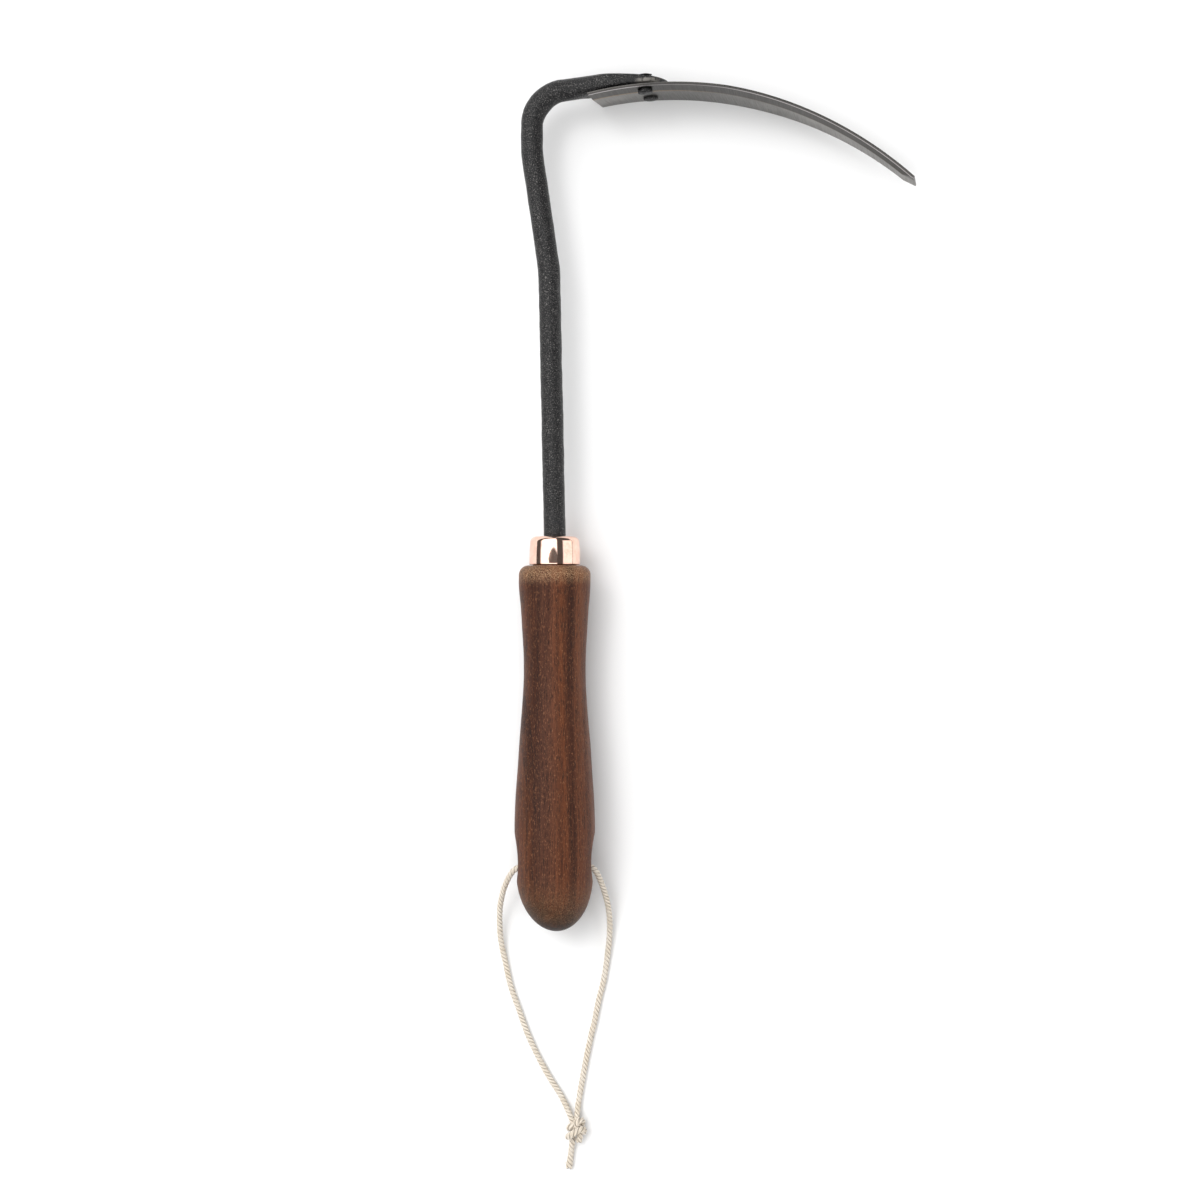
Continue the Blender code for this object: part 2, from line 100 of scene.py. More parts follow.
def catmull(points, spacing):
    """Points about this far apart on a Catmull-Rom curve through the given ones."""
    points = np.array(points, float)
    padded = np.vstack([2 * points[0] - points[1], points, 2 * points[-1] - points[-2]])
    out = []
    for before, start, end, after in zip(padded, padded[1:], padded[2:], padded[3:]):
        steps = max(1, round(float(np.linalg.norm(end - start)) / spacing))
        for t in np.arange(steps) / steps:
            out.append(
                0.5
                * (
                    2 * start
                    + (end - before) * t
                    + (2 * before - 5 * start + 4 * end - after) * t**2
                    + (3 * start - before - 3 * end + after) * t**3
                )
            )
    return np.array([*out, points[-1]])


def distances(points):
    """How far along the line each point lies from the first one."""
    steps = np.linalg.norm(np.diff(points, axis=0), axis=1)
    return np.concatenate([[0.0], np.cumsum(steps)])


def even(points, spacing):
    """The same line with its points evenly spaced."""
    along = distances(points)
    count = max(2, round(along[-1] / spacing) + 1)
    wanted = np.linspace(0.0, along[-1], count)
    return np.stack([np.interp(wanted, along, points[:, i]) for i in range(3)], axis=1)


def carried_frames(points):
    """Tangents, and two sideways directions that turn as little as possible along the line."""
    tangents = unit(np.gradient(points, axis=0))
    side = unit(np.cross(tangents[0], (0.0, 0.0, 1.0)))
    sides = [side]
    for tangent in tangents[1:]:
        side = unit(side - tangent * (side @ tangent))
        sides.append(side)
    sides = np.array(sides)
    return tangents, sides, np.cross(tangents, sides)


def mesh_from_grid(name, rings, uv=None, cap=True):
    """An object over a grid of rings of equal size, each closed. uv gives (u, v) of each grid point."""
    rings = np.asarray(rings)
    count, sides = rings.shape[:2]
    verts = rings.reshape(-1, 3)
    i, j = np.meshgrid(np.arange(count - 1), np.arange(sides), indexing="ij")
    after = (j + 1) % sides
    faces = np.stack(
        [i * sides + j, i * sides + after, (i + 1) * sides + after, (i + 1) * sides + j], axis=-1
    ).reshape(-1, 4)
    faces = faces.tolist()
    if cap:
        faces.append(list(range(sides))[::-1])
        faces.append(list(range((count - 1) * sides, count * sides)))
    mesh = bpy.data.meshes.new(name)
    mesh.from_pydata(verts.tolist(), [], faces)
    if uv is not None:
        layer = mesh.uv_layers.new(name="lay")
        corner = np.zeros(len(mesh.loops), np.int64)
        mesh.loops.foreach_get("vertex_index", corner)
        values = np.asarray(uv, float).reshape(-1, 2)[corner]
        quads = (count - 1) * sides
        wrapped = np.zeros((quads, 4), bool)
        last = np.tile(np.arange(sides) == sides - 1, count - 1)
        wrapped[last, 1:3] = True
        flags = np.zeros(len(corner), bool)
        flags[: quads * 4] = wrapped.reshape(-1)
        values[flags, 1] += 1.0  # so that the seam doesn't run backwards
        layer.data.foreach_set("uv", values.astype(np.float32).reshape(-1))
    mesh.update()
    obj = bpy.data.objects.new(name, mesh)
    SCENE.collection.objects.link(obj)
    return obj


def face_out(obj, merge=0.0):
    bm = bmesh.new()
    bm.from_mesh(obj.data)
    if merge:
        bmesh.ops.remove_doubles(bm, verts=bm.verts, dist=merge)
    bmesh.ops.recalc_face_normals(bm, faces=bm.faces)
    bm.to_mesh(obj.data)
    bm.free()


def smooth(obj, angle=40.0):
    obj.data.shade_smooth()
    obj.data.set_sharp_from_angle(angle=math.radians(angle))


def wear(obj, material):
    obj.data.materials.clear()
    obj.data.materials.append(material)
    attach(obj, "root")


# ---------------------------------------------------------------- node helpers


class Nodes:
    """A small writer of node trees. add() returns the node that it adds, most others that node's output."""

    def __init__(self, name=None, tree=None):
        """Writes into the tree, or else into that of a new material of this name."""
        if tree is None:
            self.material = bpy.data.materials.new(name)
            self.material.use_nodes = True
            tree = self.material.node_tree
            self.shader = tree.nodes["Principled BSDF"]
        self.tree = tree

    def link(self, source, target):
        if isinstance(source, (int, float)):
            target.default_value = source
        elif isinstance(source, tuple):
            target.default_value = source if len(source) == len(target.default_value) else (*source, 1.0)
        else:
            self.tree.links.new(source, target)

    def add(self, kind, inputs=None, **settings):
        node = self.tree.nodes.new("ShaderNode" + kind)
        for key, value in settings.items():
            setattr(node, key, value)
        for key, value in (inputs or {}).items():
            self.link(value, node.inputs[key])
        return node

    def place(self):
        """The point in the row frame, in millimetres."""
        coords = self.add("TexCoord").outputs["Object"]
        return self.add("VectorMath", {0: coords, 1: (1000.0,) * 3}, operation="MULTIPLY").outputs[0]

    def design_place(self):
        """The point in the design frame, in millimetres."""
        inputs = {0: self.place(), 1: tuple(ORIGIN / MM)}
        return self.add("VectorMath", inputs, operation="SUBTRACT").outputs[0]

    def scaled(self, vector, scale, shift=(0.0, 0.0, 0.0)):
        return self.add("Mapping", {"Vector": vector, "Scale": scale, "Location": shift}).outputs[0]

    def noise(self, vector, scale, detail=4.0, rough=0.55, distort=0.0):
        inputs = {"Vector": vector, "Scale": scale, "Detail": detail, "Roughness": rough}
        return self.add("TexNoise", {**inputs, "Distortion": distort}).outputs["Fac"]

    def math(self, operation, a, b=0.0, c=None):
        inputs = {0: a, 1: b} if c is None else {0: a, 1: b, 2: c}
        return self.add("Math", inputs, operation=operation).outputs[0]

    def plus(self, a, b):
        return self.math("ADD", a, b)

    def minus(self, a, b):
        return self.math("SUBTRACT", a, b)

    def times(self, product, *others):
        for other in others:
            product = self.math("MULTIPLY", product, other)
        return product

    def span(self, value, low, high, to_low=0.0, to_high=1.0, kind="SMOOTHSTEP"):
        """value, taken from low..high to to_low..to_high and held there beyond."""
        inputs = {"Value": value, 1: low, 2: high, 3: to_low, 4: to_high}
        return self.add("MapRange", inputs, interpolation_type=kind, clamp=True).outputs[0]

    def window(self, value, rise, fall):
        """Rises from 0 to 1 over the first range of value, and falls back to 0 over the second."""
        return self.times(self.span(value, *rise), self.span(value, *fall, 1.0, 0.0))

    def mix(self, share, a, b):
        """The colour that lies this share of the way from a to b."""
        node = self.add("Mix", data_type="RGBA", clamp_factor=True)
        for socket, value in ((node.inputs[0], share), (node.inputs[6], a), (node.inputs[7], b)):
            self.link(value, socket)
        return node.outputs[2]

    def between(self, share, a, b):
        """The number that lies this share of the way from a to b."""
        node = self.add("Mix", data_type="FLOAT", clamp_factor=True)
        for socket, value in ((node.inputs[0], share), (node.inputs[2], a), (node.inputs[3], b)):
            self.link(value, socket)
        return node.outputs[0]

    def ramp(self, value, *stops):
        node = self.add("ValToRGB", {0: value})
        elements = node.color_ramp.elements
        for i, (position, colour) in enumerate((stops[0], stops[-1])):
            elements[i].position, elements[i].color = position, (*colour, 1.0)
        for position, colour in stops[1:-1]:
            elements.new(position).color = (*colour, 1.0)
        return node.outputs[0]

    def split(self, vector):
        return self.add("SeparateXYZ", {0: vector}).outputs

    def bump(self, height, strength, distance):
        return self.add("Bump", {"Height": height, "Strength": strength, "Distance": distance}).outputs[0]

    def finish(self, **sockets):
        for key, value in sockets.items():
            self.link(value, self.shader.inputs[key.replace("_", " ")])
        return self.material


def srgb(code):
    """Linear RGB of a colour given as six hex digits."""
    parts = [int(code[i : i + 2], 16) / 255 for i in (0, 2, 4)]
    return tuple(c / 12.92 if c <= 0.04045 else ((c + 0.055) / 1.055) ** 2.4 for c in parts)


# ---------------------------------------------------------------- cords

CORD_RADIUS = 1.2
STRAND_RADIUS, STRAND_OFFSET = 0.70, 0.62  # the three strands press into each other
STRAND_FLATNESS = 0.94  # each one is pressed a little flat
LAY_LENGTH = 5.4  # of one full turn of a strand
HOLE_AT = 27.1
KNOT_MIDDLE = np.array((8.7, -87.0, 4.0))
KNOT_SWELL, KNOT_REACH = 0.14, 5.0  # the cord is looser and fuller this far round the middle of the knot

# each arm starts in the middle of the hole and ends at the knot
LEFT_ARM = (
    (0.0, 27.1, 16.86), (-11.0, 27.1, 16.86), (-14.8, 26.8, 16.7), (-17.7, 24.8, 15.7),
    (-20.1, 20.7, 13.4), (-22.0, 15.7, 10.8), (-23.3, 9.0, 7.8), (-23.6, 1.8, 4.9),
    (-23.1, -6.5, 2.6), (-21.3, -15.4, 1.4), (-19.0, -25.7, 1.3), (-15.7, -35.1, 1.3),
    (-12.0, -45.4, 1.3), (-7.3, -55.7, 1.3), (-2.1, -65.1, 1.3), (2.4, -72.2, 1.4),
    (5.2, -78.0, 2.1), (6.9, -81.6, 3.2),
)
RIGHT_ARM = (
    (0.0, 27.1, 16.86), (11.0, 27.1, 16.86), (14.8, 26.9, 16.7), (17.2, 25.0, 15.7),
    (19.1, 21.0, 13.4), (20.7, 16.4, 10.8), (22.2, 10.5, 7.8), (23.1, 3.5, 4.8), (23.0, -4.8, 2.5),
    (21.8, -15.4, 1.4), (20.4, -23.8, 1.3), (18.5, -31.3, 1.3), (16.6, -40.7, 1.3),
    (14.8, -48.2, 1.3), (12.9, -57.6, 1.3), (11.2, -66.9, 1.3), (9.9, -74.5, 1.6),
    (9.3, -79.3, 2.3), (9.1, -82.0, 3.0),
)
# in the knot the left arm goes on as the upper wrap and the tail, the right arm as the loop and the short end
LEFT_KNOT = (
    (8.3, -84.2, 3.0), (10.4, -86.2, 1.7), (11.9, -87.2, 2.9), (11.9, -85.9, 4.7),
    (10.6, -85.6, 6.3), (8.5, -86.6, 6.9), (6.6, -88.0, 6.4), (5.5, -89.1, 4.5), (6.0, -89.0, 2.3),
    (7.0, -89.0, 1.5), (7.3, -90.6, 2.0), (7.1, -92.6, 2.0), (6.8, -95.4, 1.5), (6.4, -98.4, 1.3),
    (6.1, -101.0, 1.3), (5.8, -103.1, 1.3),
)
RIGHT_KNOT = (
    (8.6, -83.9, 4.4), (6.9, -84.6, 4.6), (5.9, -85.4, 3.4), (6.4, -86.0, 1.8), (8.4, -85.9, 1.4),
    (10.8, -84.4, 2.0), (11.6, -82.8, 3.3), (10.5, -82.0, 4.9), (9.2, -83.3, 5.2),
    (9.6, -85.2, 4.4), (10.4, -87.2, 4.2), (10.4, -89.2, 3.9), (9.9, -91.6, 3.0),
)


def strand_rings(line, phase, spread, radius, sides=12):
    """One strand, twisted round the line; spread and radius are its offset and thickness at each point."""
    _, side, up = carried_frames(line)
    turn = phase - 2 * np.pi * distances(line) / LAY_LENGTH
    centre = line + spread[:, None] * (np.cos(turn)[:, None] * side + np.sin(turn)[:, None] * up)
    forward = unit(np.gradient(centre, axis=0))
    outward = unit(np.cos(turn)[:, None] * side + np.sin(turn)[:, None] * up + 1e-9)
    outward = unit(outward - forward * np.sum(outward * forward, axis=1)[:, None])
    beside = np.cross(forward, outward)
    angles = 2 * np.pi * np.arange(sides) / sides
    ring = (STRAND_FLATNESS * np.cos(angles))[None, :, None] * outward[:, None, :]
    ring = radius[:, None, None] * (ring + np.sin(angles)[None, :, None] * beside[:, None, :])
    around = angles / (2 * np.pi)
    uv = np.stack(np.broadcast_arrays(distances(centre)[:, None], around[None, :]), axis=-1)
    return centre[:, None, :] + ring, uv


def drift(rng, steps, beyond, gap, amount):
    """Numbers that wander about zero along the line, with a new random value after every gap."""
    marks = np.arange(0, steps[-1] + beyond, gap)
    return np.interp(steps, marks, rng.normal(0, amount, len(marks)))


def rope(name, route, loose_from, fray, seed):
    """A three-strand cord on the route, in millimetres; its strands part over the last stretch."""
    rng = np.random.default_rng(seed)
    line = even(catmull(route, 0.3), 0.28)
    steps = distances(line)
    left = steps[-1] - steps
    swell = 1 + KNOT_SWELL * np.exp(-((np.linalg.norm(line - KNOT_MIDDLE, axis=1) / KNOT_REACH) ** 4))
    parts = []
    for k in range(3):
        wander = drift(rng, steps, 9, 3.0, 0.02)
        spread = swell * (STRAND_OFFSET + wander + fray * smoothstep(1 - left / loose_from))
        radius = STRAND_RADIUS * (1 + drift(rng, steps, 5, 1.3, 0.018))
        radius = swell * radius * (1 - 0.18 * smoothstep(1 - left / 0.5))  # thinner at the cut end
        trimmed = slice(0, len(line) - int(rng.integers(0, 3)))
        phase = 2 * math.pi * k / 3 + 0.4
        rings, uv = strand_rings(line[trimmed], phase, spread[trimmed], radius[trimmed])
        rings[..., 2] = np.maximum(rings[..., 2], 0.0)  # pressed flat where it lies on the table
        parts.append(mesh_from_grid(f"{name}_{k}", placed(rings), uv))
    obj = joined(name, parts)
    smooth(obj, 60)
    return obj, placed(line)


def joined(name, parts):
    """One object of several, by way of bmesh, so that nothing depends on the context."""
    bm = bmesh.new()
    for part in parts:
        bm.from_mesh(part.data)
    mesh = bpy.data.meshes.new(name)
    bm.to_mesh(mesh)
    bm.free()
    for part in parts:
        old = part.data
        bpy.data.objects.remove(part)
        bpy.data.meshes.remove(old)
    obj = bpy.data.objects.new(name, mesh)
    SCENE.collection.objects.link(obj)
    return obj


FIBRE_LOWEST = 0.12  # height above the table


def fibre_mesh(name, starts, ways, radius, seed):
    """Thin bent fibres that stand out of the cord."""
    rng = np.random.default_rng(seed)
    parts = []
    for i, (start, way) in enumerate(zip(starts, ways)):
        bend = rng.normal(0, 0.35, 3)
        steps = np.linspace(0, 1, 6)[:, None]
        line = start + way * steps + bend * np.linalg.norm(way) * 0.5 * steps**2
        line[:, 2] = np.maximum(line[:, 2], FIBRE_LOWEST)
        _, side, up = carried_frames(line)
        angles = (np.pi / 2 * np.arange(4))[None, :, None]
        around = np.cos(angles) * side[:, None, :] + np.sin(angles) * up[:, None, :]
        rings = line[:, None, :] + (radius * (1 - 0.8 * steps))[:, :, None] * around
        parts.append(mesh_from_grid(f"{name}_{i}", placed(rings)))
    return joined(name, parts)


def cotton():
    n = Nodes("cotton")
    uv = n.add("UVMap", uv_map="lay").outputs[0]
    u, v, _ = n.split(uv)
    # yarns twist round the strand, opposite to the strand's own twist
    yarn = n.plus(n.times(u, -0.42), n.times(v, 5.0))
    wave = n.math("SINE", n.times(yarn, 2 * math.pi))
    ridge = n.span(wave, -1.0, 0.6)
    inward = n.minus(0.5, n.math("ABSOLUTE", n.minus(v, 0.5)))
    groove_shade = n.span(inward, 0.10, 0.21)
    place = n.place()
    fine = n.noise(n.scaled(place, (7.0, 7.0, 7.0)), 1.0, 3.0)
    patch = n.noise(place, 0.22, 3.0, distort=0.4)
    base = n.ramp(patch, (0.30, srgb("d6cab8")), (0.50, srgb("dfd5c7")), (0.72, srgb("e6dfd4")))
    # painted shade: darker in the troughs between yarns, and darker still in the grooves between strands
    shaded = n.mix(n.span(ridge, 0.0, 1.0, 0.42, 0.0, "LINEAR"), base, srgb("93826a"))
    shaded = n.mix(n.times(groove_shade, 0.65), shaded, srgb("5f5140"))
    speck = n.mix(n.span(fine, 0.58, 0.75, 0.0, 0.35), shaded, srgb("ebe4d6"))
    height = n.plus(n.times(ridge, 0.7), n.times(fine, 0.5))
    n.shader.inputs["Sheen Weight"].default_value = 0.35
    n.shader.inputs["Sheen Roughness"].default_value = 0.5
    n.shader.inputs["Specular IOR Level"].default_value = 0.25
    rough = n.span(fine, 0.3, 0.7, 0.85, 0.97)
    return n.finish(Base_Color=speck, Roughness=rough, Normal=n.bump(height, 0.55, 0.0001))


def make_lanyard():
    material = cotton()
    made = []
    for name, arm, knot, loose, fray, seed in (
        ("lanyard_left", LEFT_ARM, LEFT_KNOT, 7.0, 0.30, 11),
        ("lanyard_right", RIGHT_ARM, RIGHT_KNOT, 1.2, 0.08, 12),
    ):
        obj, path = rope(name, (*arm, *knot), loose, fray, seed)
        wear(obj, material)
        made.append((obj, path))
    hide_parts("lanyard_cord", "lanyard_knot", "lanyard_tail")
    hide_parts("lanyard_cord", "lanyard_knot")
    # the yarns that stick out at the end of the tail, and loose fibres along the cord
    tip = np.array(LEFT_KNOT[-1])
    roots = tip + np.array(((-0.6, 2.2, 0.5), (-0.3, 0.6, 0.2), (0.5, 0.5, 0.3)))
    yarns = np.array(((-1.9, 0.5, 0.5), (-0.5, -1.1, 0.1), (0.3, -1.0, 0.2)))
    frayed = fibre_mesh("frayed_yarns", roots, yarns, 0.2, 5)
    rng = np.random.default_rng(6)
    starts, ways = [], []
    for _, path in made:
        line = (path - np.array(ORIGIN)) / MM
        tangents, side, up = carried_frames(line)
        for i in rng.integers(70, len(line) - 4, 150):
            a = rng.uniform(0, 2 * np.pi)
            out = np.cos(a) * side[i] + np.sin(a) * up[i]
            starts.append(line[i] + out * CORD_RADIUS * 0.8)
            ways.append(out * rng.uniform(0.2, 0.55) + tangents[i] * rng.uniform(-0.9, 0.9))
    fuzz = fibre_mesh("cord_fuzz", starts, ways, 0.022, 7)
    for obj in (frayed, fuzz):
        obj.data.uv_layers.new(name="lay")
        smooth(obj, 60)
        wear(obj, material)


make_lanyard()

# ---------------------------------------------------------------- floor and light


FLOOR_GAP = 0.05  # between the table and the tool's lowest point


def make_floor():
    """A plain pale table that reaches far beyond the tool."""
    bm = bmesh.new()
    bmesh.ops.create_grid(bm, x_segments=1, y_segments=1, size=3.0)
    mesh = bpy.data.meshes.new("floor")
    bm.to_mesh(mesh)
    bm.free()
    floor = bpy.data.objects.new("floor", mesh)
    floor.location.z = -FLOOR_GAP * MM
    n = Nodes("floor")
    mesh.materials.append(n.finish(Base_Color=(0.86, 0.86, 0.86), Roughness=0.9))
    n.shader.inputs["Specular IOR Level"].default_value = 0.0
    SCENE.collection.objects.link(floor)


# each pair is where a shape fades in or out, in degrees from straight up, to the right or ahead
SOFTBOX = 2.25  # radiance of the overhead light
BOX_ACROSS, BOX_ALONG = ((-72, -58), (8, 15)), ((-48, -32), (60, 76))
REFLECTOR = 1.3  # of the wall at the right
WALL_ACROSS = ((36, 42), (84, 92))
WALL_AHEAD = (0.38, 0.48)  # the wall's far end, as the sine of an angle
ROOM = 0.10  # of everything else
STAND_MIDDLE, STAND_HALF = (-5.0, 2.0), (22.0, 6.0)  # of the dark ellipse that the stand makes in the softbox
STAND_DEPTH = 0.97
KEY, KEY_NARROW = 9.0, 80.0  # of the key light, and how tightly it is gathered
KEY_TOWARD = np.array((-0.48, 0.40, 1.0))


def make_light():
    """A studio as a world: a small key light inside a wide softbox at the left, a white wall at the right."""
    world = bpy.data.worlds.new("studio")
    SCENE.world = world
    world.use_nodes = True
    n = Nodes(tree=world.node_tree)
    direction = n.add("TexCoord").outputs["Generated"]
    x, y, z = n.split(direction)
    height = n.math("MAXIMUM", z, 0.001)
    across = n.math("ARCTAN2", x, height)
    along = n.math("ARCTAN2", y, height)
    box = n.times(n.window(across, *np.radians(BOX_ACROSS)), n.window(along, *np.radians(BOX_ALONG)))
    wall = n.times(n.window(across, *np.radians(WALL_ACROSS)), n.span(y, *WALL_AHEAD, 1.0, 0.0))
    # the stand over the table shows as a dark shape in the polished copper
    offsets = [
        n.math("DIVIDE", n.minus(value, math.radians(middle)), math.radians(half))
        for value, middle, half in zip((across, along), STAND_MIDDLE, STAND_HALF)
    ]
    reach = n.plus(*(n.times(offset, offset) for offset in offsets))
    stand = n.span(reach, 0.75, 1.1, 1.0, 0.0)
    box = n.times(box, n.math("MULTIPLY_ADD", stand, -STAND_DEPTH, 1.0))
    inputs = {0: direction, 1: tuple(unit(KEY_TOWARD))}
    toward = n.add("VectorMath", inputs, operation="DOT_PRODUCT").outputs["Value"]
    key = n.math("EXPONENT", n.times(n.minus(toward, 1.0), KEY_NARROW))
    level = n.math("MULTIPLY_ADD", box, SOFTBOX, ROOM)
    level = n.math("MULTIPLY_ADD", wall, REFLECTOR, level)
    level = n.math("MULTIPLY_ADD", key, KEY, level)
    background = world.node_tree.nodes["Background"]
    n.link(level, background.inputs["Strength"])
    background.inputs["Color"].default_value = (1.0, 1.0, 1.0, 1.0)
    SCENE.view_settings.view_transform = "Standard"
    SCENE.view_settings.look = "None"


make_floor()
make_light()

# ---------------------------------------------------------------- handle

HANDLE_LENGTH = 153.5
BUTT_LENGTH, BUTT_RADIUS = 24.0, 16.1
GRIP = (  # (distance from the butt, radius) of the grip, as in the CAD source
    (24.0, 16.1),
    (42.8, 16.86),
    (75.0, 15.22),
    (109.5, 12.98),
    (133.5, 14.13),
    (147.3, 15.06),
)
SHOULDER_ROUND = 4.0
TENON_TO, TENON_RADIUS = 164.4, 9.1
TANG_FROM, TANG_TIP_RADIUS = 93.5, 2.8
BAR_RADIUS = 4.6
CLEARANCE = 0.3
HOLE_RADIUS, HOLE_FLARE = 2.4, 0.7
HOLE_FLARE_FROM, HOLE_FLARE_TO, DRILL_REACH = 14.2, 15.9, 22.0  # from the handle's axis
HOLLOW_AT, HOLLOW_RADIUS, HOLLOW_FLOOR = 29.5, 37.7, 14.97
AXIS = AXIS_Z / MM


def grip_radius(y):
    """Radius of the grip, the same smooth curve through its stations as in the CAD source."""
    places, radii = (np.array(values) for values in zip(*GRIP))
    rises = np.diff(radii) / np.diff(places)
    slopes = np.array([0.0, *((rises[:-1] + rises[1:]) / 2), 0.0])
    slopes[[1, 3]] = 0.0
    slopes[0] = 1.4 * rises[0]
    i = np.clip(np.searchsorted(places, y, "right") - 1, 0, len(places) - 2)
    gap = places[i + 1] - places[i]
    t = (y - places[i]) / gap
    ease = t * t * (3 - 2 * t)
    bulge = gap * t * (1 - t) * ((1 - t) * slopes[i] - t * slopes[i + 1])
    return blend(radii[i], radii[i + 1], ease) + bulge


def wobble(points, scale, amount, seed=0.0):
    """Smooth seeded noise at each point, from -amount to amount."""
    flat = points.reshape(-1, 3)
    values = [noise.noise((p[0] * scale + seed, p[1] * scale, p[2] * scale)) for p in flat]
    return np.array(values).reshape(points.shape[:-1]) * amount


def lathe(profile, sides):
    """Rings round the handle's axis, from (radius, distance along) points of the design frame."""
    profile = np.array(profile, float)
    angles = 2 * np.pi * np.arange(sides) / sides
    radius, along = profile[:, 0][:, None], profile[:, 1][:, None]
    coordinates = np.broadcast_arrays(radius * np.cos(angles), along, AXIS + radius * np.sin(angles))
    return np.stack(coordinates, axis=-1)


def from_axis(points):
    """Directions straight away from the handle's axis."""
    away = points - np.array((0.0, 0.0, AXIS))
    away[..., 1] = 0.0
    return unit(away)


def quarter_round(centre, radius, count):
    """(radius, distance along) points of a rounded corner, from its side to its top."""
    angles = np.radians(np.linspace(0, 90, count))
    return [(centre[0] + radius * math.cos(a), centre[1] + radius * math.sin(a)) for a in angles]


def drilled(obj, cutter):
    """Takes the cutter out of obj, which keeps a plain mesh."""
    modifier = obj.modifiers.new("drill", "BOOLEAN")
    modifier.object = cutter
    modifier.solver = "EXACT"
    graph = bpy.context.evaluated_depsgraph_get()
    mesh = bpy.data.meshes.new_from_object(obj.evaluated_get(graph))
    obj.modifiers.clear()
    obj.data = mesh
    bpy.data.objects.remove(cutter)


def make_handle():
    turns = np.radians(np.linspace(0, 90, 64))[:-1]
    butt = [(BUTT_RADIUS * math.sin(a), BUTT_LENGTH * (1 - math.cos(a))) for a in turns]
    butt[0] = (0.02, 0.0)
    grip = [(float(grip_radius(y)), float(y)) for y in np.arange(BUTT_LENGTH, GRIP[-1][0], 0.75)]
    corner = (GRIP[-1][1] - SHOULDER_ROUND, HANDLE_LENGTH - SHOULDER_ROUND)
    shoulder = quarter_round(corner, SHOULDER_ROUND, 20)
    inside = [
        (TENON_RADIUS, HANDLE_LENGTH),
        (TENON_RADIUS, TENON_TO),
        (BAR_RADIUS + CLEARANCE, TENON_TO),
        (BAR_RADIUS + CLEARANCE, HANDLE_LENGTH),
        (TANG_TIP_RADIUS + CLEARANCE, TANG_FROM - CLEARANCE),
    ]
    rings = lathe([*butt, *grip, (GRIP[-1][1], GRIP[-1][0]), *shoulder, *inside], 192)
    outside = len(rings) - len(inside)
    skin = rings[:outside]
    # hand-sanded: the turned surface wanders a little, and the butt's end sits off the axis
    ease = smoothstep(np.minimum(skin[..., 1] / 10, (HANDLE_LENGTH - skin[..., 1]) / 6))
    skin += from_axis(skin) * (wobble(skin, 0.09, 0.10, 3.0) * ease)[..., None]
    skin[..., 0] += 0.8 * np.clip(1 - skin[..., 1] / BUTT_LENGTH, 0, 1) ** 2
    for side in (-1, 1):
        centre = side * (HOLLOW_FLOOR + HOLLOW_RADIUS)
        reach = HOLLOW_RADIUS**2 - (skin[..., 1] - HOLLOW_AT) ** 2 - (skin[..., 2] - AXIS) ** 2
        limit = centre - side * np.sqrt(np.maximum(reach, 0.0))
        deep = (skin[..., 0] * side > limit * side) & (reach > 0)
        skin[..., 0] = np.where(deep, limit, skin[..., 0])
    handle = mesh_from_grid("walnut_handle", placed(rings))
    face_out(handle)
    flared = np.linspace(HOLE_FLARE_FROM, HOLE_FLARE_TO, 8)
    turn = 2 * np.pi * (np.arange(40) + 0.5) / 40
    bores = []
    for x in (-DRILL_REACH, *-flared[::-1], *flared, DRILL_REACH):
        radius = HOLE_RADIUS + HOLE_FLARE * float(smoothstep((abs(x) - HOLE_FLARE_FROM) / 1.2)) ** 1.5
        bores.append([(x, HOLE_AT + radius * math.cos(t), AXIS + radius * math.sin(t)) for t in turn])
    drill = mesh_from_grid("drill", placed(bores))
    face_out(drill)
    drilled(handle, drill)
    smooth(handle, 38)
    wear(handle, walnut())
    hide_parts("handle")


